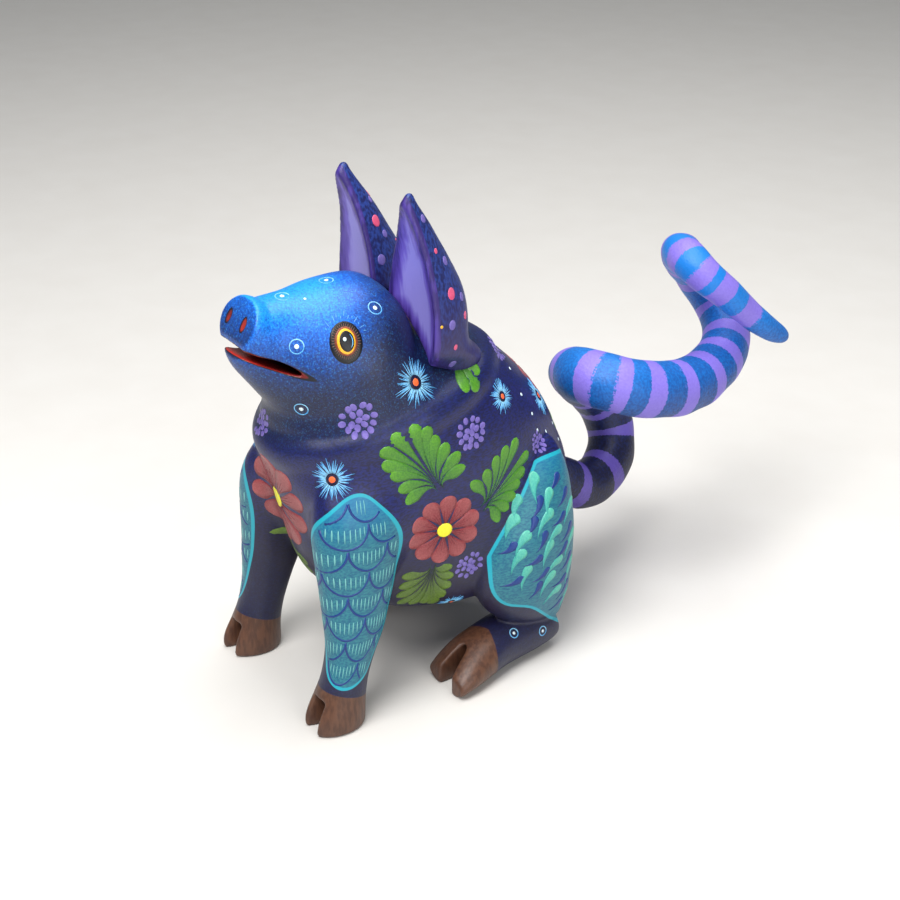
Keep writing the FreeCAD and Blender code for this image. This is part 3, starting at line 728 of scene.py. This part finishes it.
def build_body():
    """Skin of head, torso and legs in one flow, then cut into a closed piece for each."""
    block = Block(list(BODY_NODES))
    fields = {n: block.distances(n) for n in (*BODY_NODES, *JOINT_NODES)}
    rise = block.axes()[2]
    merged = smooth_union(fields["torso"], fields["head"], 11.0)
    for side, _ in SIDES:
        shoulder = 3.0 + 5.0 * smoothstep(38, 54, rise)
        merged = smooth_union(merged, fields["front_leg_" + side], shoulder)
        merged = smooth_union(merged, fields["hind_leg_" + side], 1.2)
    merged = hollowed(block, lowered_lip(block, filled_neck(block, merged)))
    points, quads, normals = carve(block, merged, 0.10, 1)
    masks = body_masks(block, fields, points, normals)
    middles = points[quads].mean(axis=1)
    owner = np.argmin([block.sample(fields[n], middles) for n in BODY_NODES], axis=0)
    for index, (node, slot) in enumerate(BODY_NODES.items()):
        used, local, extra, caps = closed_part(points, quads[owner == index])
        pad = len(extra)
        values = {k: np.concatenate([v[used], np.full(pad, v[used[0]])]) for k, v in masks.items()}
        facing = np.concatenate([normals[used], np.tile((0.0, 0.0, 1.0), (pad, 1))])
        piece = make_mesh(node + "_skin", np.concatenate([points[used], extra]),
                          [local, caps], facing, values)
        piece.data.materials.append(skin_paint(node + "_paint"))
        dress(piece, "figure", slot, node)
    return Skin(points, quads)


def dress(piece, body, slot, *nodes):
    """Ride on a body and stand for CAD nodes; the slot is not used."""
    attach(piece, body)
    if nodes:
        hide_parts(*nodes)


# ---------------------------------------------------------------- brush work

FILM = 0.02              # thickness of a thin mark at its rim
SUNK = 0.15              # how far a mark's underside lies in the wood


class Skin:
    """Surface to paint on, in mm."""

    def __init__(self, points, quads):
        self.tree = BVHTree.FromPolygons(points.tolist(), quads.tolist())

    def cast(self, start, heading):
        """Place and outward normal where a ray meets the skin, or two Nones."""
        spot, normal, _, _ = self.tree.ray_cast(start, heading)
        if spot is not None and normal.dot(heading) > 0:
            normal = -normal
        return spot, normal

    def nearest(self, point):
        spot, normal, _, _ = self.tree.find_nearest(point)
        return spot, normal


class Spot:
    """Drawing plane over a skin; marks drop onto the skin along the plane's normal."""

    def __init__(self, skin, anchor, normal=None, side=1, up=(0, 0, 1), lift=9.0):
        self.skin = skin
        self.side = side
        anchor = Vector((anchor[0] * side, anchor[1], anchor[2]))
        if normal is None:
            anchor, facing = skin.nearest(anchor)
            normal = (facing.x * side, facing.y, facing.z)
        self.anchor = Vector((anchor.x * side, anchor.y, anchor.z))
        self.normal = Vector(normal).normalized()
        self.right = Vector(up).cross(self.normal).normalized()
        self.up = self.normal.cross(self.right)
        self.lift = lift

    def place(self, u, v):
        start = self.anchor + self.right * u + self.up * v + self.normal * self.lift
        heading = -self.normal
        start.x *= self.side
        heading.x *= self.side
        return self.skin.cast(start, heading)


class LegSpot:
    """Drawing surface wrapped round a front leg: mm round it and height."""

    def __init__(self, skin, side):
        self.skin = skin
        self.side = side

    def place(self, u, v):
        out, back = leg_middle(v)
        angle = u / LEG_GIRTH
        outward = Vector((math.sin(angle), -math.cos(angle), 0))
        start = Vector((out, back, v)) + outward * 16
        start.x *= self.side
        outward.x *= self.side
        return self.skin.cast(start, -outward)


class Brush:
    """Marks of one paint on one body; each is a thin closed film on the skin."""

    def __init__(self, name, body, slot, base, tip=None):
        self.name = name
        self.body = body
        self.slot = slot
        self.base = base
        self.tip = tip or base
        self.points = []
        self.reach = []
        self.faces = []

    def stroke(self, spot, path, widths, crown=0.09, across=5, closed=False, rise=0.0):
        """Mark along (u, v) points with a half width at each point."""
        path = np.array(path, float)
        if closed:
            along = np.roll(path, -1, 0) - np.roll(path, 1, 0)
        else:
            along = np.gradient(path, axis=0)
        along /= np.maximum(np.linalg.norm(along, axis=1, keepdims=True), 1e-9)
        tops = []
        bottoms = []
        for (u, v), (a, b), width in zip(path, along, widths):
            for share in np.linspace(-1, 1, across):
                spread = share * max(width, 0.03)
                place, normal = spot.place(u - b * spread, v + a * spread)
                if place is None:
                    return
                if len(tops) >= across and (place - tops[-across]).length > 5:
                    return
                height = FILM + rise + crown * (1 - share * share)
                tops.append(place + normal * height)
                bottoms.append(place - normal * SUNK)
        self.add_film(tops, bottoms, len(path), across, closed, normal)

    def add_film(self, tops, bottoms, rows, across, closed, normal):
        first = len(self.points)
        under = first + len(tops)
        faces = []
        for row in range(rows if closed else rows - 1):
            here = first + row * across
            there = first + (row + 1) % rows * across
            for i in range(across - 1):
                quad = (here + i, here + i + 1, there + i + 1, there + i)
                faces.append(quad)
                faces.append(tuple(v + under - first for v in reversed(quad)))
            for i in (0, across - 1):
                rim = (here + i, there + i, there + i + under - first, here + i + under - first)
                faces.append(rim if i == 0 else rim[::-1])
        if not closed:
            for row in (0, rows - 1):
                for i in range(across - 1):
                    a = first + row * across + i
                    rim = (a + 1, a, a + under - first, a + 1 + under - first)
                    faces.append(rim if row == 0 else rim[::-1])
        middle = len(tops) // 2 - across
        middle -= middle % across
        side_step = tops[middle + 1] - tops[middle]
        row_step = tops[middle + across] - tops[middle]
        if side_step.cross(row_step).dot(normal) < 0:
            faces = [face[::-1] for face in faces]
        self.points += tops + bottoms
        share = np.repeat(np.linspace(0, 1, rows), across).tolist()
        self.reach += share + share
        self.faces += faces

    def drop(self, spot, start, end, width, bend=0.0, control=None, taper=1.1):
        """Teardrop from its thin start to its round end; bend bows it sideways."""
        start = np.array(start, float)
        end = np.array(end, float)
        along = end - start
        beside = np.array((-along[1], along[0]))
        t = np.array((0, 0.15, 0.3, 0.45, 0.6, 0.7, 0.8, 0.88, 0.94, 0.98, 1.0))
        middle = (start + end) / 2 + beside * bend if control is None else control
        path = [start * (1 - s) ** 2 + middle * 2 * s * (1 - s) + end * s * s for s in t]
        length = np.linalg.norm(along)
        cap = min(width / length, 0.5)
        body = np.minimum(t / (1 - cap), 1) ** taper
        end_round = np.sqrt(np.clip(1 - ((t - (1 - cap)) / cap) ** 2, 0, 1))
        widths = width * np.where(t < 1 - cap, body, end_round)
        self.stroke(spot, path, widths)

    def line(self, spot, start, end, width, crown=0.05, rise=0.0):
        """Fine stroke that thins at both ends."""
        t = np.linspace(0, 1, 5)
        path = [np.array(start) * (1 - s) + np.array(end) * s for s in t]
        widths = width * (0.35 + 0.65 * np.sin(np.pi * t))
        self.stroke(spot, path, widths, crown, across=3, rise=rise)

    def disc(self, spot, middle, width, height=None, turn=0.0, rise=0.0, across=7):
        """Filled oval with half sizes width and height."""
        height = height or width
        angle = np.linspace(0, math.pi, 13)
        run = -np.cos(angle) * height
        heading = np.array((-math.sin(turn), math.cos(turn)))
        path = [np.array(middle) + heading * r for r in run]
        self.stroke(spot, path, np.sin(angle) * width, 0.08, across, rise=rise)

    def ring(self, spot, middle, width, height, thickness, rise=0.0):
        angle = np.linspace(0, 2 * math.pi, 28, endpoint=False)
        path = [(middle[0] + width * math.cos(a), middle[1] + height * math.sin(a)) for a in angle]
        self.stroke(spot, path, [thickness / 2] * len(path), 0.05, 3, True, rise)

    def finish(self):
        if not self.points:
            return
        piece = make_mesh(self.name, [tuple(p) for p in self.points], [np.array(self.faces)],
                          None, {"reach": self.reach})
        piece.data.materials.append(brush_paint(self.name + "_paint", self.base, self.tip))
        dress(piece, self.body, self.slot)


# Scoop of the left ear: middle, half sizes, degrees turned outwards and leant forwards.
SCOOP = np.array((13.0, -49.4, 110.0))
SCOOP_SIZE = np.array((13.0, 8.0, 30.0))
SCOOP_TURN = 9.0
SCOOP_LEAN = 6.0


def scoop_offsets(points, sign):
    """Places of points in the scoop's own axes: across, deep and along."""
    offset = (points - SCOOP * (sign, 1, 1)) * (sign, 1, 1)
    turn = math.radians(SCOOP_TURN)
    lean = math.radians(SCOOP_LEAN)
    across = offset[:, 0] * math.cos(turn) + offset[:, 1] * math.sin(turn)
    ahead = -offset[:, 0] * math.sin(turn) + offset[:, 1] * math.cos(turn)
    deep = ahead * math.cos(lean) + offset[:, 2] * math.sin(lean)
    along = -ahead * math.sin(lean) + offset[:, 2] * math.cos(lean)
    return np.column_stack([across, deep, along])


def rim_distance(points, scoop):
    """Distance of each point from the nearest part of the scoop's rim."""
    rim = points[(scoop > 1.07) & (scoop < 1.13)]
    tree = KDTree(len(rim))
    for index, point in enumerate(rim):
        tree.insert(point, index)
    tree.balance()
    inner = scoop < 1.07
    result = np.zeros(len(points))
    result[inner] = [tree.find(point)[2] for point in points[inner]]
    return result


def build_ear(side, sign):
    node = "ear_" + side
    block = Block([node])
    field = block.distances(node)
    points, quads, normals = carve(block, field, 0.08, 3)
    offsets = scoop_offsets(points, sign)
    scoop = np.linalg.norm(offsets / SCOOP_SIZE, axis=1)
    masks = {
        "inner": (scoop - 1.17) * 6,
        "from_rim": rim_distance(points, scoop),
        "joint": block.sample(block.distances("head"), points + normals * 1.5),
    }
    piece = make_mesh(node + "_carved", points, [quads], None, masks)
    piece.data.materials.append(ear_paint(node + "_paint"))
    dress(piece, node_body(node), "ear_paint", node)
    return Skin(points, quads)


def node_body(node):
    return frame["nodes"][node]["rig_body"]


# Lavender bands: middle and half width, in mm along the tail's middle line.
TAIL_BANDS = (
    (12.7, 2.4), (28.1, 2.5), (44.0, 2.1), (56.6, 1.9), (66.5, 2.0), (77.5, 2.0), (88.0, 1.6),
    (97.4, 1.5), (104.0, 1.3), (111.6, 2.2), (123.5, 2.7), (136.4, 2.6), (147.7, 2.5),
    (159.0, 2.6), (173.4, 2.7), (188.9, 2.7), (200.0, 2.2), (209.5, 2.0), (217.4, 1.6),
    (223.9, 1.7), (230.6, 2.6), (242.0, 3.6),
)


def tail_distance(points):
    """Distance along the tail's middle line of the place nearest to each point."""
    line = spline(TAIL_LINE, 16)
    along = np.concatenate([[0], np.cumsum(np.linalg.norm(np.diff(line, axis=0), axis=1))])
    result = np.empty(len(points))
    for start in range(0, len(points), 4000):
        part = points[start:start + 4000]
        gap = np.linalg.norm(part[:, None] - line[None], axis=2)
        result[start:start + 4000] = along[gap.argmin(axis=1)]
    return result


def spline(points, parts):
    """Open Catmull-Rom curve through points."""
    points = [np.array(p, float) for p in points]
    points = [2 * points[0] - points[1], *points, 2 * points[-1] - points[-2]]
    result = []
    for a, b, c, d in zip(points, points[1:], points[2:], points[3:]):
        for step in range(parts):
            result.append(curve_point(a, b, c, d, step / parts))
    result.append(points[-2])
    return np.array(result)


def build_tail():
    block = Block(["tail"])
    points, quads, normals = carve(block, block.distances("tail"), 0.14, 5)
    along = tail_distance(points)
    middles, halves = np.array(TAIL_BANDS).T
    band = np.min(np.abs(along[:, None] - middles) - halves, axis=1)
    masks = {"band": band, "joint": block.sample(block.distances("torso"), points + normals * 1.5)}
    piece = make_mesh("tail_carved", points, [quads], None, masks)
    piece.data.materials.append(tail_paint("tail_paint"))
    dress(piece, "tail", "tail_paint", "tail")


def finish_dowels():
    material = bare_wood("bare_wood")
    for name, node in frame["nodes"].items():
        if "dowel" in name or "peg" in name:
            node.data.materials.clear()
            node.data.materials.append(material)


# ---------------------------------------------------------------- painted motifs

# Colour of each paint at the start and at the end of a stroke.
PAINTS = {
    "petal": (rgb(124, 34, 44), rgb(170, 86, 88)),
    "petal_vein": (rgb(104, 18, 34), rgb(130, 40, 52)),
    "leaf": (rgb(30, 92, 44), rgb(92, 158, 34)),
    "lash": (rgb(74, 54, 50), rgb(116, 84, 70)),
    "olive": (rgb(58, 78, 42), rgb(104, 136, 44)),
    "yellow": (rgb(236, 226, 16), rgb(250, 244, 60)),
    "orange": (rgb(240, 92, 40), rgb(250, 124, 70)),
    "cyan": (rgb(150, 214, 246), rgb(70, 160, 224)),
    "white": (rgb(206, 236, 246), rgb(236, 246, 250)),
    "night": (rgb(12, 12, 44), rgb(14, 16, 56)),
    "lilac": (rgb(98, 84, 164), rgb(128, 112, 190)),
    "mint": (rgb(48, 154, 150), rgb(96, 194, 168)),
    "scale": (rgb(10, 44, 116), rgb(14, 60, 132)),
    "hatch": (rgb(126, 196, 190), rgb(98, 170, 172)),
    "pink": (rgb(214, 70, 116), rgb(236, 104, 140)),
    "brown": (rgb(120, 50, 30), rgb(150, 76, 50)),
    "gold": (rgb(240, 170, 30), rgb(250, 196, 52)),
    "black": (rgb(10, 10, 14), rgb(16, 16, 22)),
}


def brushes(body, slot, names):
    return {name: Brush(body + "_" + name, body, slot, *PAINTS[name]) for name in names}


def polar(angle, radius):
    return np.array((math.cos(angle), math.sin(angle))) * radius


def daisy(kit, spot, middle, width, height, petals=10, turn=0.2):
    """Rose daisy with a yellow middle; width and height are half sizes."""
    stretch = np.array((width, height))
    middle = np.array(middle, float)
    for index in range(petals):
        angle = turn + index * 2 * math.pi / petals
        heading = polar(angle, 1) * stretch
        reach = np.linalg.norm(heading)
        kit["petal"].drop(spot, middle + heading * 0.12, middle + heading, reach * 0.255)
        for lean, far in ((-0.16, 0.56), (0.0, 0.66), (0.16, 0.56)):
            start = middle + polar(angle + lean, 0.22) * stretch
            end = middle + polar(angle + lean * 0.8, far) * stretch
            kit["petal_vein"].line(spot, start, end, 0.11, rise=0.09)
    kit["yellow"].disc(spot, middle, width * 0.2, height * 0.2, rise=0.12)


def palmette(kit, paint, spot, base, tips, width):
    """Fan of rounded lobes that leave the stem together and bend out to their tips."""
    base = np.array(base, float)
    heading = np.mean([np.array(tip) - base for tip in tips], axis=0)
    heading /= np.linalg.norm(heading)
    for tip in tips:
        tip = np.array(tip, float)
        length = np.linalg.norm(tip - base)
        control = base + heading * length * 0.5
        kit[paint].drop(spot, base + (tip - base) * 0.1, tip, width, control=control,
                        taper=2.6)


def starburst(kit, skin, anchor, radius, side, seed):
    """Furry pale-blue star with an orange dot in a dark ring."""
    pick = random.Random(seed)
    spot = Spot(skin, anchor, side=side)
    rays = 84
    for index in range(rays):
        angle = (index + pick.uniform(-0.35, 0.35)) * 2 * math.pi / rays
        start = polar(angle, radius * 0.3)
        end = polar(angle + pick.uniform(-0.14, 0.14), radius * pick.uniform(0.62, 1.08))
        kit["cyan"].line(spot, start, end, 0.1)
    kit["night"].disc(spot, (0, 0), radius * 0.3, rise=0.06)
    kit["orange"].disc(spot, (0, 0), radius * 0.16, rise=0.12)


BUNCH_RINGS = ((0, 1), (0.42, 6), (0.84, 12))   # share of the radius, dots in the ring


def cluster(kit, paint, skin, anchor, radius, side, seed):
    """Bunch of small oval dots round one dot."""
    pick = random.Random(seed)
    spot = Spot(skin, anchor, side=side)
    for share, count in BUNCH_RINGS:
        for index in range(count):
            angle = (index + pick.uniform(-0.2, 0.2)) * 2 * math.pi / count + share
            place = polar(angle, radius * share * pick.uniform(0.8, 1.08))
            size = radius * pick.uniform(0.15, 0.18)
            turn = angle - math.pi / 2 + pick.uniform(-0.7, 0.7)
            kit[paint].disc(spot, place, size, size * 1.2, turn=turn)


def ringed_dot(kit, skin, anchor, side, radius=1.75):
    spot = Spot(skin, anchor, side=side)
    kit["cyan"].ring(spot, (0, 0), radius, radius, 0.28)
    kit["white"].disc(spot, (0, 0), radius * 0.33)


EYE = (15.4, -63.5, 103.2)
EYE_NORMAL = (0.84, -0.27, 0.47)
EYE_HALF = np.array((4.1, 5.2))


def paint_eye(kit, skin, side):
    """Black oval, brown iris with dashes, gold ring and a black pupil with a painted reflection arc
    and a painted highlight dot.
    """
    spot = Spot(skin, EYE, EYE_NORMAL, side)
    width, height = EYE_HALF
    kit["black"].disc(spot, (0, 0), width, height, rise=0.05, across=13)
    kit["brown"].disc(spot, (0, 0.25), width * 0.70, height * 0.69, rise=0.12, across=11)
    for index in range(40):
        angle = index * 2 * math.pi / 40
        far = 0.80 if math.sin(angle) < -0.3 else 0.90
        start = polar(angle, 0.62) * EYE_HALF
        kit["lash"].line(spot, start, polar(angle, far) * EYE_HALF, 0.10, rise=0.13)
    kit["gold"].disc(spot, (0, 0.2), width * 0.56, height * 0.60, rise=0.19, across=11)
    kit["black"].disc(spot, (0.15, 0.2), width * 0.44, height * 0.49, rise=0.26, across=11)
    # Painted reflection: a pale arc inside the pupil.
    kit["cyan"].stroke(spot, [polar(a, 1) * (1.35, 2.0) + (0.2, 0.2)
                              for a in np.linspace(-0.9, 1.0, 9)],
                       0.10 * np.sin(np.linspace(0.3, 2.9, 9)), 0.02, 3, rise=0.34)
    # Painted highlight: a white dot on the pupil.
    kit["white"].disc(spot, (-0.35, 0.75), 0.42, 0.5, rise=0.36)
    for index in range(13):
        angle = math.radians(22 + index * 10.5)
        start = polar(angle, 1.2 + 0.06 * math.cos(index * 3.1)) * EYE_HALF
        far = 1.42 + 0.16 * math.sin(index * 2.4)
        kit["cyan"].line(spot, start, polar(angle - 0.06, far) * EYE_HALF, 0.06)


# Leaves and flowers of a flank: distance along Y, height.
FLANK_DAISY = (-42.0, 49.2)
TALL_LEAF = ((-43.3, 61.2), ((-36.5, 66.7), (-37.8, 70.9), (-41.4, 74.5), (-44.7, 77.4),
             (-47.2, 80.5), (-50.8, 81.6), (-56.4, 80.0), (-59.6, 76.2), (-59.1, 71.9),
             (-57.2, 68.6), (-55.2, 64.0), (-53.2, 59.8)))
REAR_LEAF = ((-31.1, 52.1), ((-34.7, 61.5), (-30.3, 63.7), (-26.5, 66.4), (-22.5, 67.9),
             (-18.2, 68.4), (-13.3, 62.3), (-15.1, 58.1), (-17.4, 55.3), (-19.5, 52.0),
             (-22.1, 49.3), (-25.6, 46.8)))
LOW_LEAF = ((-44.6, 39.4), ((-52.3, 36.3), (-52.5, 32.4), (-52.3, 28.7), (-50.8, 25.1),
            (-47.5, 24.3), (-44.2, 24.2), (-41.2, 23.3), (-39.8, 26.3), (-38.6, 29.8),
            (-38.4, 33.6), (-39.1, 37.2)))
EAR_LEAF = ((-33.3, 97.7), ((-34.2, 85.3), (-30.0, 84.2), (-27.0, 87.9), (-28.3, 94.4)))

# Swirls strewn over a haunch panel, in rows that step up and along Y.
SWIRL_MARGIN = 1.2       # both ends of a swirl lie at least this far inside the outline
SWIRL_SEED = 31
SWIRL_ROWS = 11
SWIRL_COLUMNS = 9
SWIRL_START = np.array((-29.0, 12.0))   # lowest, foremost swirl: along the body and height
SWIRL_GAP = np.array((4.6, 4.6))        # mean distance between neighbouring swirls


def paint_swirls(kit, spot):
    """Leaning drops strewn over the haunch panel, mint and navy by turns."""
    pick = random.Random(SWIRL_SEED)
    outline = smooth_loop(HAUNCH_PANEL, 4)
    for row in range(SWIRL_ROWS):
        for column in range(SWIRL_COLUMNS):
            jitter = (pick.uniform(-0.5, 0.5), pick.uniform(-0.5, 0.5))
            middle = SWIRL_START + SWIRL_GAP * (column + row % 2 / 2, row) + jitter
            mint = (row + column) % 2 == 0
            lean = math.radians((52 if mint else 34) + pick.uniform(-26, 26))
            half = polar(lean, pick.uniform(3.6, 4.4) if mint else pick.uniform(2.8, 3.4))
            ends = np.array((middle - half, middle + half))
            below_top = middle[1] < haunch_roof(middle[0]) - 5.0
            if below_top and (inside_outline(ends, outline) < -SWIRL_MARGIN).all():
                if mint:
                    kit["mint"].drop(spot, *ends, 1.4, bend=0.26)
                else:
                    kit["scale"].drop(spot, *ends, 1.1, bend=-0.24)


def paint_flank(kit, skin, side):
    spot = Spot(skin, (0, 0, 0), (1, 0, 0), side, lift=60.0)
    daisy(kit, spot, FLANK_DAISY, 10.3, 10.0)
    palmette(kit, "leaf", spot, *TALL_LEAF, 1.95)
    palmette(kit, "leaf", spot, *REAR_LEAF, 1.75)
    palmette(kit, "olive", spot, *LOW_LEAF, 1.55)
    palmette(kit, "leaf", spot, *EAR_LEAF, 1.9)
    paint_swirls(kit, spot)


# Scales on a front leg's panel.
SCALE_WIDTH = 10.8
SCALE_HEIGHT = 6.3       # height of one row
SCALE_SAG = 0.92         # depth of a scale's bow, as a share of the row


def paint_leg(kit, skin, side):
    """Rows of hatched scales inside the panel of a front leg."""
    spot = LegSpot(skin, side)
    outline = leg_panel_outline()

    def inside(points, margin):
        return inside_outline(np.array(points, float), outline) < -margin

    for row in range(9):
        top = 64.5 - row * SCALE_HEIGHT
        for column in range(-2, 5):
            middle = (column + row % 2 / 2) * SCALE_WIDTH + 1.0
            angle = np.linspace(math.pi, 2 * math.pi, 17)
            arc = np.column_stack([middle + SCALE_WIDTH / 2 * np.cos(angle),
                                   top + SCALE_HEIGHT * SCALE_SAG * np.sin(angle)])
            runs = np.flatnonzero(inside(arc, 1.1))
            if len(runs) >= 4:
                arc = arc[runs[0]:runs[-1] + 1]
                kit["scale"].stroke(spot, arc, [0.28] * len(arc), 0.05, 3)
            for step in np.linspace(-0.76, 0.76, 8):
                u = middle + step * SCALE_WIDTH / 2
                depth = SCALE_HEIGHT * SCALE_SAG * math.sqrt(1 - step * step)
                ends = [(u, top - depth * 0.12), (u, top - depth * 0.70)]
                if inside(ends, 1.3).all():
                    kit["hatch"].line(spot, *ends, 0.15)


# Marks on the chest, back and nose: places on the skin, and leaves in their drawing plane.
CHEST_DAISY = (-3.8, -72.0, 56.8)
CHEST_FACING = (0.25, -0.97, 0.0)
CHEST_BUNCH = (-3.5, -76.1, 77.4)
NOSE_DOTS = ((1.3, -72.7, 112.5), (0.3, -59.7, 113.6))
NOSE_SPECK = (4.5, -68.2, 111.9)
BACK_DAISY = (0.0, 1.0, 77.0)
BACK_FACING = (0.0, 0.75, 0.66)
CHEST_LEAF = ((-5.0, 43.0), ((-14.5, 39.0), (-12.5, 34.0), (-9.0, 31.0), (-5.5, 30.0),
              (-2.0, 30.5), (1.5, 33.0), (2.5, 37.0)))
BACK_LEAF = ((0.0, -10.0), ((-11.0, -12.5), (-10.0, -17.0), (-6.5, -20.5), (-2.2, -22.5),
             (2.2, -22.5), (6.5, -20.5), (10.0, -17.0), (11.0, -12.5)))


def paint_middle(kit, skin):
    """Marks that lie across the figure's middle: chest, back and nose."""
    chest = Spot(skin, (0, 0, 0), (0, -1, 0), lift=130.0)
    daisy(kit, Spot(skin, CHEST_DAISY, CHEST_FACING, lift=20.0), (0, -0.8), 12.0, 14.6)
    palmette(kit, "olive", chest, *CHEST_LEAF, 1.7)
    back = Spot(skin, BACK_DAISY, BACK_FACING, lift=12.0)
    daisy(kit, back, (0, 0), 10.0, 10.0)
    palmette(kit, "leaf", back, *BACK_LEAF, 1.7)
    cluster(kit, "lilac", skin, CHEST_BUNCH, 4.0, 1, 21)
    for anchor in NOSE_DOTS:
        ringed_dot(kit, skin, anchor, 1)
    kit["white"].disc(Spot(skin, NOSE_SPECK), (0, 0), 0.35)


# Marks on both flanks: place on the left side of the skin, and radius where it varies.
STARS = (((19.5, -47.4, 89.8), 6.2), ((16.0, -68.2, 68.2), 5.4), ((20.2, -21.0, 79.2), 4.6),
         ((11.7, -2.4, 71.2), 5.4), ((20.4, -36.2, 22.8), 3.6))
CLUSTERS = (((18.5, -62.3, 83.6), 4.8), ((24.9, -33.8, 74.6), 4.6), ((21, -9, 63), 3.0),
            ((25.7, -34.1, 36.0), 4.0), ((8.7, -15.7, 86.4), 3.8))
RINGED_DOTS = ((12.4, -53.2, 108.8), (10.7, -74.5, 103.1), (10.4, -73.9, 86.1),
               (28.6, -21.0, 11.4), (29.0, -11.3, 8.7))
WHITE_DOTS = ((12.5, -12.9, 81.9), (17.1, -12.3, 76.2), (18.5, -9.9, 70.6), (19.5, -8.6, 65.9),
              (17.6, -4.0, 63.3), (12.5, 2.3, 62.1), (12.8, 4.7, 56.7))


def paint_side(kit, skin, side):
    """Marks that repeat on both sides of the figure."""
    paint_eye(kit, skin, side)
    paint_flank(kit, skin, side)
    paint_leg(kit, skin, side)
    for seed, (anchor, radius) in enumerate(STARS):
        starburst(kit, skin, anchor, radius, side, seed)
    for seed, (anchor, radius) in enumerate(CLUSTERS):
        cluster(kit, "lilac", skin, anchor, radius, side, seed)
    for anchor in RINGED_DOTS:
        ringed_dot(kit, skin, anchor, side, 1.75 if anchor[2] > 20 else 1.3)
    for anchor in WHITE_DOTS:
        kit["white"].disc(Spot(skin, anchor, side=side), (0, 0), 0.45)


# Dots on an ear: place on the left ear and radius.
PINK_DOTS = (((19.1, -39.8, 122.7), 0.6), ((21.2, -36.6, 111.6), 1.35), ((20.3, -32.0, 104.6), 0.9),
             ((22.5, -36.2, 97.7), 0.65), ((8.3, -39.6, 122.4), 1.35), ((12.0, -34.5, 131.0), 0.8),
             ((9.5, -33.5, 115.0), 0.7))
LILAC_DOTS = (((18.8, -36.9, 119.5), 1.0), ((19.8, -32.6, 109.5), 1.0), ((22.7, -37.4, 104.0), 1.1),
              ((20.0, -35.5, 92.1), 1.1), ((17.1, -42.0, 130.8), 0.9), ((11.3, -39.3, 127.2), 0.8),
              ((7.5, -37.5, 118.8), 0.9), ((4.6, -40.4, 113.2), 1.2), ((15.0, -30.0, 117.0), 0.9))


GOLD_DOT = (22.6, -40.7, 104.3)


def paint_ear(skin, side, node):
    kit = brushes(node_body(node), "ear_paint", ("pink", "lilac", "gold"))
    for paint, dots in (("pink", PINK_DOTS), ("lilac", LILAC_DOTS)):
        for anchor, radius in dots:
            spot = Spot(skin, anchor, side=side, lift=3.0)
            kit[paint].disc(spot, (0, 0), radius, radius * 1.15)
    kit["gold"].disc(Spot(skin, GOLD_DOT, side=side, lift=3.0), (0, 0), 0.4)
    for brush in kit.values():
        brush.finish()


def paint_figure(body, ears):
    kit = brushes("figure", "body_paint", [n for n in PAINTS if n != "pink"])
    paint_middle(kit, body)
    for name, side in SIDES:
        paint_side(kit, body, side)
        paint_ear(ears[name], side, "ear_" + name)
    for brush in kit.values():
        brush.finish()


# ---------------------------------------------------------------- stage, light and camera

VIEW_TARGET = Vector((6.8, -27.2, 60.0))
VIEW_AZIMUTH = math.radians(55.5)
VIEW_ELEVATION = math.radians(27.0)
VIEW_DISTANCE = 454.0
VIEW_LENS = 68.0


def add_light(name, place, target, size, power, colour=(1, 1, 1)):
    data = bpy.data.lights.new(name, "AREA")
    data.shape = "DISK"
    data.size = size * MM
    data.energy = power
    data.color = colour
    light = bpy.data.objects.new(name, data)
    light.location = Vector(place) * MM
    heading = Vector(target) - Vector(place)
    light.rotation_euler = heading.to_track_quat("-Z", "Y").to_euler()
    bpy.context.scene.collection.objects.link(light)


def build_stage():
    reach = 3000.0
    corners = [(-reach, -reach, 0), (reach, -reach, 0), (reach, reach, 0), (-reach, reach, 0)]
    floor = make_mesh("floor", corners, [[(0, 1, 2, 3)]])
    shader = Shader("floor_paint", 0.8)
    tint = shader.mix(shader.noise(0.05, 3), rgb(226, 222, 216), rgb(232, 229, 224))
    floor.data.materials.append(shader.finish(tint, shader.noise(0.4), 0.02))
    world = bpy.data.worlds.new("studio")
    world.use_nodes = True
    world.node_tree.nodes["Background"].inputs["Color"].default_value = (0.92, 0.96, 1.0, 1)
    world.node_tree.nodes["Background"].inputs["Strength"].default_value = 0.24
    bpy.context.scene.world = world
    add_light("key", (150, -320, 620), (0, 0, 60), 420, 4.4)
    add_light("top", (-60, 120, 700), (0, 20, 60), 520, 2.9)
    add_light("fill", (620, -80, 260), (0, 0, 60), 400, 1.3)


def build_camera():
    out = Vector((math.sin(VIEW_AZIMUTH) * math.cos(VIEW_ELEVATION),
                  -math.cos(VIEW_AZIMUTH) * math.cos(VIEW_ELEVATION),
                  math.sin(VIEW_ELEVATION)))
    data = bpy.data.cameras.new("camera")
    data.lens = VIEW_LENS
    data.sensor_width = 36.0
    data.clip_start = 0.01
    camera = bpy.data.objects.new("camera", data)
    camera.location = (VIEW_TARGET + out * VIEW_DISTANCE) * MM
    camera.rotation_euler = (-out).to_track_quat("-Z", "Y").to_euler()
    bpy.context.scene.collection.objects.link(camera)
    bpy.context.scene.camera = camera


# ---------------------------------------------------------------- the whole figure

def build():
    body = build_body()
    ears = {side: build_ear(side, sign) for side, sign in SIDES}
    build_tail()
    paint_figure(body, ears)
    finish_dowels()
    build_stage()
    build_camera()
    bpy.context.scene.view_settings.view_transform = "Standard"


build()
